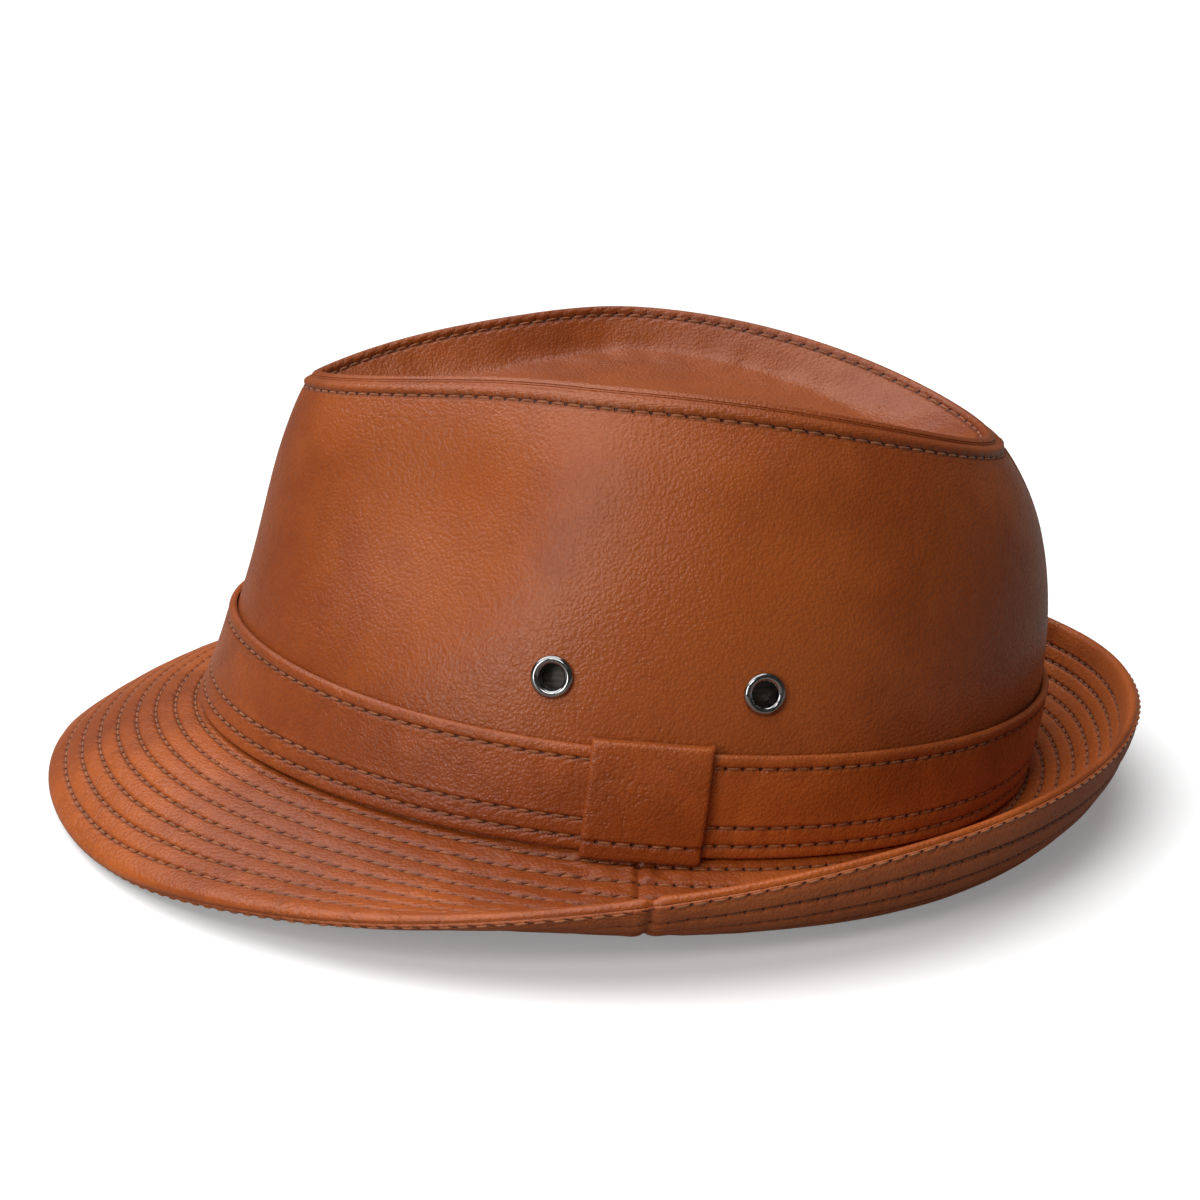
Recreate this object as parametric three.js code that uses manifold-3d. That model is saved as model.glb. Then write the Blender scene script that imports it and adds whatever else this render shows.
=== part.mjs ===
// A leather trilby: sewn crown with a sunken tip, leather hatband with a keeper, vent eyelets,
// and a row-stitched brim that is snapped down in front and turned up behind.
// Millimetres, +Z up, front towards -Y, the wearer's left towards +X. The hat lies as it rests on a
// table, tipped back a little, with its lowest point at z = 0.
import * as THREE from 'three';
import { mergeVertices } from 'three/addons/utils/BufferGeometryUtils.js';
import Module from 'manifold-3d';

const DEGREE = Math.PI / 180;
const AROUND = 48; // facets round the head
const MERGE_DISTANCE = 1e-4;

// Head oval, measured outside the crown leather at the foot of the wall.
const OVAL_HALF_WIDTH = 88;
const OVAL_HALF_LENGTH = 105;
const OVAL_EGG = 0.02; // how much wider the oval is behind than in front
const REST_PITCH = 4.8; // degrees, front raised

// Rim of the crown, where the wall meets the tip.
const RIM_HALF_WIDTH = 57;
const RIM_HALF_LENGTH = 86;
const RIM_SHIFT = 2.5; // towards the back
const RIM_POINT = { front: 1.55, rear: 1 }; // 1 is an ellipse, more is more pointed
const RIM_END_HEIGHT = 83;
const RIM_RISE = 14.5; // how much higher the rim is at the sides than at its two ends
const RIM_REAR_LIFT = 1; // how much higher the rear end is than the front end

// Fullness of the wall beyond a straight line from foot to rim: at mid height, and near the rim.
const FULL_FRONT = { middle: -1.5, upper: 3 };
const FULL_REAR = { middle: 8.5, upper: 3 };
const FULL_SIDE = { middle: 8, upper: 1.5 };

// Pinch: one dent on each side of the front.
const PINCH_DEPTH = 6.5;
const PINCH_AT_RIM = 0.55; // share of the depth left at the rim
const PINCH_ANGLE = 60; // degrees from the front at the rim
const PINCH_SWEEP = 14; // degrees nearer the front at its lower end
const PINCH_FRONT_SPREAD = 22;
const PINCH_REAR_SPREAD = 15;
const PINCH_FOOT = 0.28; // share of the wall height where the dent begins
const PINCH_PEAK = 0.72; // and where it is deepest

// Shoulder: a narrower, crisper dent that ends the pinch behind.
const SHOULDER_DEPTH = 2.6;
const SHOULDER_ANGLE = 71;
const SHOULDER_SWEEP = 10;
const SHOULDER_FRONT_SPREAD = 20;
const SHOULDER_REAR_SPREAD = 9;

// Tip: a short steep wall inside the rim, then a floor that rises to the sides and falls to the ends.
const TIP_WALL_REACH = { side: 0.18, end: 0.27 }; // share of the way to the centre
const TIP_CENTRE_HEIGHT = 83.5;
const TIP_SIDE_RISE = { at: 48, by: 5.5 };
const TIP_END_FALL = { at: 64, by: 5.5 };

// Brim cross sections every 30 degrees from front to back: width, and slope at the crown and at the edge.
const BRIM_SECTIONS = [
  { width: 44, start: -12, end: -42 },
  { width: 44.5, start: -8, end: -46 },
  { width: 43.5, start: -14, end: -6 },
  { width: 46, start: -30, end: 52 },
  { width: 47, start: -30, end: 90 },
  { width: 39, start: -10, end: 95 },
  { width: 37, start: 14, end: 80 },
];
const BRIM_SECTION_STEP = 30;
const BRIM_SEAM = 94; // degrees from the front to each side seam
const BRIM_SEAM_HALF_GAP = 0.1; // degrees
const BRIM_INNER_GAP = 0.4;

// Layers. Depths run inwards from the outer face of the crown, or down from the top of the brim.
const GAP = 0.3;
const LEATHER = 1.2;
const CROWN_INTERLINING = { from: 1.5, to: 2 };
const WASHER = { from: 2.9, to: 3.2 };
const LINING = { from: 3.7, to: 4.1 };
const SWEATBAND = { from: 4.5, to: 5.7 };
const SWEATBAND_TOP = 0.36; // share of the wall height
const WALL_FOOT = -2.8;
const SWEATBAND_TAPE = { from: 1.6, to: 4, bottom: WALL_FOOT, top: -0.3 };
const TIP_INTERLINING = { from: 1.5, to: 2 };
const TIP_LINING = { from: 2.3, to: 2.8 };
const BRIM_TOP_LEATHER = { from: 0, to: 1 };
const BRIM_STIFFENER = { from: 1.3, to: 2.1 };
const BRIM_UNDER_LEATHER = { from: 2.4, to: 3.4 };

// Rows of facets: shares of the wall height, of the way to the tip's centre, and of the brim's width.
const WALL_ROWS = [WALL_FOOT / RIM_END_HEIGHT, 0, 0.12, 0.24, SWEATBAND_TOP, 0.52, 0.68, 0.82, 0.92, 1];
const TIP_ROWS = [0, 0.06, 0.13, 0.22, 0.45, 0.72, 1];
const BRIM_ROWS = [0, 0.15, 0.32, 0.5, 0.68, 0.84, 0.93, 1];

const BAND = { rows: [1, 9, 17, 25], from: 0.35, to: 1.85 };
const BAND_JOINT = 94; // degrees; the two ends of the band meet here, under the keeper
const BAND_JOINT_GAP = 0.8;
const KEEPER = { start: 86.5, end: 101.5, bottom: -0.1, middle: 12, top: 26.9, from: 2.2, to: 3.6 };
const KEEPER_LIP = 1.4; // thickness of the lip that turns in over the band
const KEEPER_ROUND = 0.4; // its top corner is taken off by this much

const EYELET_ANGLES = [81, 107]; // on the wearer's left; the right side mirrors them
const EYELET_HEIGHT = 38.2;
const EYELET_FLANGE_RADIUS = 4.9;
const EYELET_HOLE_RADIUS = 2.8;
const EYELET_BARREL_RADIUS = 3.2;
const EYELET_BARREL_DEPTH = 3.3;
const EYELET_CLEARANCE = 0.4;
const EYELET_FLANGE_RISE = 0.75;
const EYELET_PUNCH_LENGTH = 12;
const EYELET_SEGMENTS = 14;
const WASHER_RADIUS = 4.4;

const COLOURS = {
  crown: 0x96512a,
  brim: 0xa85c34,
  band: 0x8a4826,
  under: 0x8d5233,
  metal: 0x6b6a6c,
  stiffener: 0xd9d2c4,
  lining: 0x2b211c,
  sweatband: 0x3a2a20,
};

const mix = (a, b, t) => a + (b - a) * t;
const smooth = (t) => {
  const c = THREE.MathUtils.clamp(t, 0, 1);
  return c * c * (3 - 2 * c);
};

// Degrees away from the front, 0 to 180, the same on both sides.
function fromFront(angle) {
  const a = ((angle % 360) + 360) % 360;
  return a > 180 ? 360 - a : a;
}

function endShare(angle) {
  return Math.cos(angle * DEGREE) ** 2;
}

function ovalPoint(angle) {
  const a = angle * DEGREE;
  const x = OVAL_HALF_WIDTH * Math.sin(a) * (1 - OVAL_EGG * Math.cos(a));
  return new THREE.Vector3(x, -OVAL_HALF_LENGTH * Math.cos(a), 0);
}

function ovalNormal(angle) {
  const a = angle * DEGREE;
  const out = new THREE.Vector3(Math.sin(a) / OVAL_HALF_WIDTH, -Math.cos(a) / OVAL_HALF_LENGTH, 0);
  return out.normalize();
}

function rimPoint(angle) {
  const a = angle * DEGREE;
  const s = Math.sin(a);
  const c = Math.cos(a);
  const x = RIM_HALF_WIDTH * Math.sign(s) * Math.abs(s) ** (c > 0 ? RIM_POINT.front : RIM_POINT.rear);
  const z = RIM_END_HEIGHT + RIM_RISE * s * s + RIM_REAR_LIFT * Math.max(-c, 0) ** 2;
  return new THREE.Vector3(x, RIM_SHIFT - RIM_HALF_LENGTH * c, z);
}

function fullness(angle, h) {
  const end = fromFront(angle) < 90 ? FULL_FRONT : FULL_REAR;
  const share = endShare(angle);
  const middle = mix(FULL_SIDE.middle, end.middle, share);
  const upper = mix(FULL_SIDE.upper, end.upper, share);
  return 4 * h * (1 - h) * middle + (256 / 27) * h ** 3 * (1 - h) * upper;
}

// Depth of one dent across the wall, deepest at centre and fading over a spread before and behind it.
function dent(angle, centre, depth, before, behind) {
  const off = fromFront(angle) - centre;
  return depth * Math.exp(-((off / (off < 0 ? before : behind)) ** 2));
}

function pinch(angle, h) {
  const centre = PINCH_ANGLE - PINCH_SWEEP * (1 - h);
  const crease = SHOULDER_ANGLE - SHOULDER_SWEEP * (1 - h);
  const hollow = dent(angle, centre, PINCH_DEPTH, PINCH_FRONT_SPREAD, PINCH_REAR_SPREAD);
  const shoulder = dent(angle, crease, SHOULDER_DEPTH, SHOULDER_FRONT_SPREAD, SHOULDER_REAR_SPREAD);
  const rise = smooth((h - PINCH_FOOT) / (PINCH_PEAK - PINCH_FOOT));
  const fall = mix(1, PINCH_AT_RIM, smooth((h - PINCH_PEAK) / (1 - PINCH_PEAK)));
  return rise * fall * (hollow + shoulder);
}

// A point of the crown wall: h is 0 at the foot and 1 at the rim, depth is inwards from the outer face.
function wallPoint(angle, h, depth) {
  const up = Math.max(h, 0);
  const point = ovalPoint(angle).lerp(rimPoint(angle), up);
  if (h < 0) point.z = h * RIM_END_HEIGHT;
  return point.addScaledVector(ovalNormal(angle), fullness(angle, up) - pinch(angle, up) - depth);
}

function wallAtHeight(angle, z, depth) {
  return wallPoint(angle, z / rimPoint(angle).z, depth);
}

function wallNormal(angle, z) {
  const along = wallAtHeight(angle + 1, z, 0).sub(wallAtHeight(angle - 1, z, 0));
  const up = wallAtHeight(angle, z + 1, 0).sub(wallAtHeight(angle, z - 1, 0));
  return along.cross(up).normalize();
}

function tipFloor(x, y) {
  const rise = TIP_SIDE_RISE.by * (x / TIP_SIDE_RISE.at) ** 2;
  return TIP_CENTRE_HEIGHT + rise - TIP_END_FALL.by * ((y - RIM_SHIFT) / TIP_END_FALL.at) ** 2;
}

// A point of the tip: q is 0 at the rim and 1 at the centre, depth is straight down from its top face.
function tipPoint(angle, q, depth, inset) {
  const point = wallPoint(angle, 1, inset).lerp(new THREE.Vector3(0, RIM_SHIFT, RIM_END_HEIGHT), q);
  const rim = rimPoint(angle).z;
  const reach = mix(TIP_WALL_REACH.side, TIP_WALL_REACH.end, endShare(angle));
  point.z = mix(rim, tipFloor(point.x, point.y), smooth(q / reach)) - depth;
  return point;
}

// Smooth value between the brim's cross sections, the same on both sides of the hat.
function brimValue(angle, key) {
  const place = fromFront(angle) / BRIM_SECTION_STEP;
  const last = BRIM_SECTIONS.length - 1;
  const i = Math.min(Math.floor(place), last - 1);
  const at = (n) => BRIM_SECTIONS[n < 0 ? -n : n > last ? 2 * last - n : n][key];
  const [a, b, c, d] = [at(i - 1), at(i), at(i + 1), at(i + 2)];
  const t = place - i;
  return b + 0.5 * t * (c - a + t * (2 * a - 5 * b + 4 * c - d + t * (3 * (b - c) + d - a)));
}

// A point of the brim: s is 0 at the crown and 1 at the edge, depth is along the normal below the top face.
// The slope changes evenly from start to end, so each cross section is an arc.
function brimPoint(angle, s, depth) {
  const width = brimValue(angle, 'width');
  const start = brimValue(angle, 'start') * DEGREE;
  const bend = brimValue(angle, 'end') * DEGREE - start;
  const slope = start + bend * s;
  const radius = width / bend;
  const out = BRIM_INNER_GAP + radius * (Math.sin(slope) - Math.sin(start)) + depth * Math.sin(slope) * s;
  const point = ovalPoint(angle).addScaledVector(ovalNormal(angle), out);
  point.z = radius * (Math.cos(start) - Math.cos(slope)) - depth * mix(1, Math.cos(slope), s);
  return point;
}

function indexedGeometry(points, triangles) {
  const geometry = new THREE.BufferGeometry();
  geometry.setAttribute('position', new THREE.Float32BufferAttribute(points.flatMap((p) => p.toArray()), 3));
  geometry.setIndex(facesOut(points, triangles));
  geometry.computeVertexNormals();
  return geometry;
}

// Turns the triangles round when the body they close has a negative volume.
function facesOut(points, triangles) {
  let volume = 0;
  for (let i = 0; i < triangles.length; i += 3) {
    const [a, b, c] = [0, 1, 2].map((k) => points[triangles[i + k]]);
    volume += a.dot(b.clone().cross(c));
  }
  return volume > 0 ? triangles : triangles.reverse();
}

// Lofts closed cross sections round the hat: an outer line, then an inner line of as many points running
// back. Both lines split their quads the same way, so that layers stay parallel. An open loft gets ends.
function loft(sections, closed) {
  const size = sections[0].length;
  const triangles = [];
  const quad = (a, b, c, d) => triangles.push(a, b, c, a, c, d);
  const spans = closed ? sections.length : sections.length - 1;
  for (let i = 0; i < spans; i += 1) {
    const here = i * size;
    const next = ((i + 1) % sections.length) * size;
    for (let j = 0; j < size; j += 1) {
      const k = (j + 1) % size;
      if (j < size / 2) quad(here + j, here + k, next + k, next + j);
      else quad(next + j, here + j, here + k, next + k);
    }
  }
  if (!closed) {
    const last = (sections.length - 1) * size;
    for (let j = 0; j < size / 2 - 1; j += 1) {
      const back = size - 1 - j;
      quad(j, back, back - 1, j + 1);
      quad(last + j, last + j + 1, last + back - 1, last + back);
    }
  }
  return indexedGeometry(sections.flat(), triangles);
}

// Angles from start to end that keep to the facets of a full turn, so that layers stay parallel.
function facetAngles(start, end) {
  const step = 360 / AROUND;
  const inner = [];
  for (let a = Math.ceil((start + 0.5) / step) * step; a < end - 0.5; a += step) inner.push(a);
  return [start, ...inner, end];
}

function fullTurn(extra = []) {
  const facets = Array.from({ length: AROUND }, (_, i) => (i * 360) / AROUND);
  return [...facets, ...extra].sort((a, b) => a - b);
}

// A sheet of one thickness. place(angle, row, depth) gives a point, and rows run from edge to edge.
function sheet(place, rows, layer, angles = fullTurn(), closed = true) {
  const section = (angle) => {
    const outer = rows.map((row) => place(angle, row, layer.from));
    const inner = rows.map((row) => place(angle, row, layer.to)).reverse();
    return [...outer, ...inner];
  };
  return loft(angles.map(section), closed);
}

// A dished disc with its rows as rings and one point at the centre of each face.
function dish(place, rows, layer) {
  const faces = [layer.from, layer.to];
  const rings = rows.slice(0, -1);
  const points = faces.flatMap((depth) => rings.flatMap((q) => fullTurn().map((a) => place(a, q, depth))));
  const triangles = [];
  const at = (face, ring, i) => (face * rings.length + ring) * AROUND + (i % AROUND);
  const poles = faces.map((depth) => points.push(place(0, 1, depth)) - 1);
  for (let i = 0; i < AROUND; i += 1) {
    for (let ring = 0; ring < rings.length - 1; ring += 1) {
      const [a, b, c, d] = [at(0, ring, i), at(0, ring, i + 1), at(0, ring + 1, i + 1), at(0, ring + 1, i)];
      const under = rings.length * AROUND;
      triangles.push(a, b, c, a, c, d);
      triangles.push(a + under, c + under, b + under, a + under, d + under, c + under);
    }
    const inner = rings.length - 1;
    triangles.push(at(0, inner, i), at(0, inner, i + 1), poles[0]);
    triangles.push(at(1, inner, i + 1), at(1, inner, i), poles[1]);
    triangles.push(at(0, 0, i), at(1, 0, i), at(1, 0, i + 1), at(0, 0, i), at(1, 0, i + 1), at(0, 0, i + 1));
  }
  return indexedGeometry(points, triangles);
}

const wasm = await Module();
wasm.setup();

function solid(geometry) {
  const bare = geometry.clone();
  bare.deleteAttribute('normal');
  bare.deleteAttribute('uv');
  const merged = mergeVertices(bare, MERGE_DISTANCE);
  const vertProperties = new Float32Array(merged.attributes.position.array);
  const triVerts = new Uint32Array(merged.index.array);
  return new wasm.Manifold(new wasm.Mesh({ numProp: 3, vertProperties, triVerts }));
}

function punched(geometry, punches) {
  const result = punches.reduce((body, punch) => body.subtract(solid(punch)), solid(geometry)).getMesh();
  const out = new THREE.BufferGeometry();
  out.setAttribute('position', new THREE.BufferAttribute(new Float32Array(result.vertProperties), 3));
  out.setIndex(new THREE.BufferAttribute(new Uint32Array(result.triVerts), 1));
  out.computeVertexNormals();
  return out;
}

// Turns a shape whose axis is +Y so that it stands on the crown wall at an eyelet, pointing out.
function standOnWall(geometry, angle) {
  const axis = wallNormal(angle, EYELET_HEIGHT);
  const turn = new THREE.Quaternion().setFromUnitVectors(new THREE.Vector3(0, 1, 0), axis);
  const place = wallAtHeight(angle, EYELET_HEIGHT, 0);
  return geometry.applyQuaternion(turn).translate(place.x, place.y, place.z);
}

function latheRing(profile) {
  const points = profile.map(([radius, height]) => new THREE.Vector2(radius, height));
  return new THREE.LatheGeometry([...points, points[0]], EYELET_SEGMENTS);
}

function eyeletGeometry() {
  const face = 2 * GAP;
  const edge = face + 0.6 * EYELET_FLANGE_RISE;
  const crest = mix(EYELET_HOLE_RADIUS, EYELET_FLANGE_RADIUS, 0.45);
  return latheRing([
    [EYELET_HOLE_RADIUS, -EYELET_BARREL_DEPTH],
    [EYELET_BARREL_RADIUS, -EYELET_BARREL_DEPTH],
    [EYELET_BARREL_RADIUS, face],
    [EYELET_FLANGE_RADIUS, face],
    [EYELET_FLANGE_RADIUS - GAP, edge],
    [crest, face + EYELET_FLANGE_RISE],
    [EYELET_HOLE_RADIUS, edge],
  ]);
}

function washerGeometry() {
  const inner = EYELET_BARREL_RADIUS + GAP;
  return latheRing([
    [inner, -WASHER.to],
    [WASHER_RADIUS, -WASHER.to],
    [WASHER_RADIUS, -WASHER.from],
    [inner, -WASHER.from],
  ]);
}

function eyeletPunch() {
  const radius = EYELET_BARREL_RADIUS + EYELET_CLEARANCE;
  return new THREE.CylinderGeometry(radius, radius, EYELET_PUNCH_LENGTH, EYELET_SEGMENTS);
}

function eyeletPlaces() {
  const names = ['front', 'rear'];
  const left = EYELET_ANGLES.map((angle, i) => ({ name: `left_${names[i]}`, angle }));
  const right = EYELET_ANGLES.map((angle, i) => ({ name: `right_${names[i]}`, angle: 360 - angle }));
  return [...left, ...right];
}

// The keeper: an outside panel with a lip that turns in over the top edge of the band.
function keeperGeometry() {
  const section = (angle) => {
    const at = (z, out) => wallAtHeight(angle, z, -out);
    const under = KEEPER.top - KEEPER_LIP;
    const outer = [at(KEEPER.bottom, KEEPER.to), at(KEEPER.middle, KEEPER.to)];
    outer.push(at(KEEPER.top - KEEPER_ROUND, KEEPER.to), at(KEEPER.top, KEEPER.to - KEEPER_ROUND));
    outer.push(at(KEEPER.top, GAP));
    const inner = [at(under, GAP), at(under, KEEPER.from), at(under - KEEPER_ROUND, KEEPER.from)];
    inner.push(at(KEEPER.middle, KEEPER.from), at(KEEPER.bottom, KEEPER.from));
    return [...outer, ...inner];
  };
  return loft(facetAngles(KEEPER.start, KEEPER.end).map(section), false);
}

const hat = new THREE.Group();

function add(name, geometry, colour, roughness = 0.5, metalness = 0) {
  const material = new THREE.MeshStandardMaterial({ color: colour, roughness, metalness });
  const mesh = new THREE.Mesh(geometry, material);
  mesh.name = name;
  hat.add(mesh);
}

function addCrown() {
  const punches = () => eyeletPlaces().map(({ angle }) => standOnWall(eyeletPunch(), angle));
  const side = sheet(wallPoint, WALL_ROWS, { from: 0, to: LEATHER });
  add('crown_side', punched(side, punches()), COLOURS.crown);
  const hidden = WALL_ROWS.slice(1, -1);
  const backing = sheet(wallPoint, hidden, CROWN_INTERLINING);
  add('crown_side_interlining', punched(backing, punches()), COLOURS.stiffener, 0.9);
  add('lining_side', sheet(wallPoint, hidden, LINING), COLOURS.lining, 0.7);

  const tip = (angle, q, depth) => tipPoint(angle, q, depth, LEATHER + GAP);
  const inside = TIP_ROWS.slice(1);
  add('crown_tip', dish(tip, TIP_ROWS, { from: 0, to: LEATHER }), COLOURS.crown);
  add('crown_tip_interlining', dish(tip, inside, TIP_INTERLINING), COLOURS.stiffener, 0.9);
  add('lining_tip', dish(tip, inside, TIP_LINING), COLOURS.lining, 0.7);
}

function addSweatband() {
  const rows = WALL_ROWS.filter((row) => row <= SWEATBAND_TOP);
  const tapeRows = [SWEATBAND_TAPE.bottom, SWEATBAND_TAPE.top];
  add('sweatband', sheet(wallPoint, rows, SWEATBAND), COLOURS.sweatband, 0.7);
  add('sweatband_tape', sheet(wallAtHeight, tapeRows, SWEATBAND_TAPE), COLOURS.sweatband, 0.8);
}

function addBand() {
  const half = (BAND_JOINT_GAP / 2 / OVAL_HALF_WIDTH) / DEGREE;
  const angles = facetAngles(BAND_JOINT + half, BAND_JOINT + 360 - half);
  const layer = { from: -BAND.to, to: -BAND.from };
  add('hatband', sheet(wallAtHeight, BAND.rows, layer, angles, false), COLOURS.band);
  add('band_keeper', keeperGeometry(), COLOURS.band);
}

function addBrim() {
  const halves = { front: [-BRIM_SEAM, BRIM_SEAM], rear: [BRIM_SEAM, 360 - BRIM_SEAM] };
  for (const [name, [start, end]] of Object.entries(halves)) {
    const angles = facetAngles(start + BRIM_SEAM_HALF_GAP, end - BRIM_SEAM_HALF_GAP);
    add(`brim_top_${name}`, sheet(brimPoint, BRIM_ROWS, BRIM_TOP_LEATHER, angles, false), COLOURS.brim);
    add(`brim_under_${name}`, sheet(brimPoint, BRIM_ROWS, BRIM_UNDER_LEATHER, angles, false), COLOURS.under);
  }
  const around = fullTurn([BRIM_SEAM, 360 - BRIM_SEAM]);
  const stiffener = sheet(brimPoint, BRIM_ROWS.slice(0, -1), BRIM_STIFFENER, around);
  add('brim_stiffener', stiffener, COLOURS.stiffener, 0.9);
}

function addEyelets() {
  for (const { name, angle } of eyeletPlaces()) {
    add(`eyelet_${name}`, standOnWall(eyeletGeometry(), angle), COLOURS.metal, 0.25, 1);
    add(`eyelet_washer_${name}`, standOnWall(washerGeometry(), angle), COLOURS.metal, 0.4, 1);
  }
}

addCrown();
addSweatband();
addBand();
addBrim();
addEyelets();

// Tips the hat to its resting pitch and sets it on z = 0, centred fore and aft.
hat.rotation.x = -REST_PITCH * DEGREE;
const part = new THREE.Group();
part.add(hat);
part.updateMatrixWorld(true);
const box = new THREE.Box3().setFromObject(part, true);
hat.position.set(0, -(box.min.y + box.max.y) / 2, -box.min.z);

export default part;
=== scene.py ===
"""A leather trilby: pinched teardrop crown, hatband with a keeper, vent eyelets, and a row-stitched
brim snapped down in front and turned up behind. Shapes are worked out in millimetres in the hat's own
frame, front towards -Y and the wearer's left towards +X, and then set down at the resting pitch."""
import math

import bpy
import numpy as np
from bpy.props import FloatProperty, FloatVectorProperty, IntProperty, PointerProperty
from mathutils import Matrix, Vector, noise


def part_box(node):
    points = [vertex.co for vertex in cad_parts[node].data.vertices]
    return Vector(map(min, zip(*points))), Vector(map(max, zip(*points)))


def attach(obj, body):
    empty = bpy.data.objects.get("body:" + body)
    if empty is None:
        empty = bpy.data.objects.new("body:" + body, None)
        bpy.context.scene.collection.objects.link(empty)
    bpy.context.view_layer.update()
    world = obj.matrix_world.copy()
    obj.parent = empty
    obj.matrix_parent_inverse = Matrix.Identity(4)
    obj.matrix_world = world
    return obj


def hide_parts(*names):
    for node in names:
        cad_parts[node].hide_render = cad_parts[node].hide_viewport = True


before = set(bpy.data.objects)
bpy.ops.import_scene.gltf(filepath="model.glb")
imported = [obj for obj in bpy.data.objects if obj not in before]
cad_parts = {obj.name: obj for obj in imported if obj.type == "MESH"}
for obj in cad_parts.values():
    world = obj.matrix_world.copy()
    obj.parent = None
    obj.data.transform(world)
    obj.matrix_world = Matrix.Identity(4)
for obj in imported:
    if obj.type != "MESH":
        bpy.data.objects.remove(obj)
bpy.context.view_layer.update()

bl_info = {
    "name": "Leather Trilby",
    "version": (1, 0, 0),
    "blender": (4, 5, 0),
    "location": "View3D > Sidebar > Trilby",
    "description": "Builds a stitched leather trilby piece by piece",
    "category": "Add Mesh",
}

MM = 0.001

# Camera, in degrees, metres and, for the lens and sensor, millimetres.
CAMERA_ELEVATION, CAMERA_YAW, CAMERA_ROLL = 16.06, 0.80, 0.5
CAMERA_DISTANCE, CAMERA_TARGET_HEIGHT = 0.558, 0.0431
CAMERA_LENS, CAMERA_SENSOR, CAMERA_SHIFT = 65.58, 36.0, (-0.01133, -0.0355)

# Head oval, rim, fullness, pinch and tip, as the frame was built.
OVAL_WIDTH, OVAL_LENGTH, OVAL_EGG = 88.0, 105.0, 0.02
REST_PITCH = math.radians(4.8)
RIM_WIDTH, RIM_LENGTH, RIM_SHIFT, RIM_POINT = 57.0, 86.0, 2.5, 1.55
RIM_END_HEIGHT, RIM_RISE, RIM_REAR_POINT, RIM_REAR_LIFT = 83.0, 14.5, 1.0, 1.0
FULL_FRONT, FULL_REAR, FULL_SIDE = (-1.5, 3.0), (8.5, 3.0), (8.0, 1.5)
PINCH_DEPTH, PINCH_AT_RIM, PINCH_ANGLE, PINCH_SWEEP = 6.5, 0.55, 60.0, 14.0
PINCH_FRONT_SPREAD, PINCH_REAR_SPREAD, PINCH_FOOT, PINCH_PEAK = 22.0, 15.0, 0.28, 0.72
SHOULDER_DEPTH, SHOULDER_ANGLE, SHOULDER_SWEEP = 2.6, 71.0, 10.0
SHOULDER_FRONT_SPREAD, SHOULDER_REAR_SPREAD = 20.0, 9.0
TIP_REACH_SIDE, TIP_REACH_END, TIP_CENTRE_HEIGHT = 0.18, 0.27, 83.5
TIP_SIDE_RISE, TIP_END_FALL = (48.0, 5.5), (64.0, 5.5)
WALL_FOOT = -2.8

# Brim cross sections every 30 degrees from front to back: width, start slope and end slope.
BRIM_WIDTH = (44, 44.5, 43.5, 46, 47, 39, 37)
BRIM_START = (-12, -8, -14, -30, -30, -10, 14)
BRIM_END = (-42, -46, -6, 52, 90, 95, 80)
BRIM_SEAM, BRIM_INNER_GAP, BRIM_THICKNESS = 94.0, 0.4, 3.4
BRIM_SEAM_PRESS, BRIM_END_TRIM, BRIM_ANGLE_STEP = 0.1, 0.09, 0.52

BAND_BOTTOM, BAND_TOP, BAND_OUT, BAND_JOINT = 1.0, 25.0, 1.85, 94.0
BAND_INNER, BAND_ROWS, KEEPER_ROW = 0.35, (4.0, 8.3, 22.0), 4.0
KEEPER_START, KEEPER_END, KEEPER_OUT, KEEPER_TOP = 86.8, 101.3, 3.6, 26.9
EYELET_ANGLES, EYELET_HEIGHT = (81.0, 107.0), 38.2

# Thicknesses, and how far the inner layers lie inside the crown's outer face.
CROWN_THICKNESS, BRIM_LEATHER_THICKNESS = 1.2, 1.0
LINING_DEPTH, LINING_THICKNESS, LINING_TOP = 3.7, 0.4, 0.972
TIP_LINING_DEPTH, TIP_LINING_THICKNESS, TIP_INSET = 2.3, 0.5, 1.5
SWEATBAND_DEPTH, SWEATBAND_THICKNESS, SWEATBAND_TOP = 4.5, 1.2, 30.5
SWEATBAND_ROWS = (1.6, 28.4)
FAR = 3.0  # stitch distances are cut off here


# ---------------------------------------------------------------- shape


def mix(a, b, t):
    return a + (b - a) * t


def smooth(t):
    c = np.clip(t, 0.0, 1.0)
    return c * c * (3.0 - 2.0 * c)


def bump(x, centre, width):
    return np.exp(-(((x - centre) / width) ** 2))


def from_front(angle):
    """Degrees away from the front, 0 to 180, the same on both sides."""
    return np.abs((np.asarray(angle, float) + 180.0) % 360.0 - 180.0)


def end_share(angle):
    return np.cos(np.radians(angle)) ** 2


def points(x, y, z):
    return np.stack(np.broadcast_arrays(x, y, z), -1).astype(float)


def oval(angle):
    a = np.radians(angle)
    return points(OVAL_WIDTH * np.sin(a) * (1 - OVAL_EGG * np.cos(a)), -OVAL_LENGTH * np.cos(a), 0.0)


def oval_normal(angle):
    a = np.radians(angle)
    n = points(np.sin(a) / OVAL_WIDTH, -np.cos(a) / OVAL_LENGTH, 0.0)
    return n / np.linalg.norm(n, axis=-1, keepdims=True)


def rim(angle):
    s, c = np.sin(np.radians(angle)), np.cos(np.radians(angle))
    x = RIM_WIDTH * np.sign(s) * np.abs(s) ** np.where(c > 0, RIM_POINT, RIM_REAR_POINT)
    z = RIM_END_HEIGHT + RIM_RISE * s * s + RIM_REAR_LIFT * np.maximum(-c, 0.0) ** 2
    return points(x, RIM_SHIFT - RIM_LENGTH * c, z)


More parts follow.
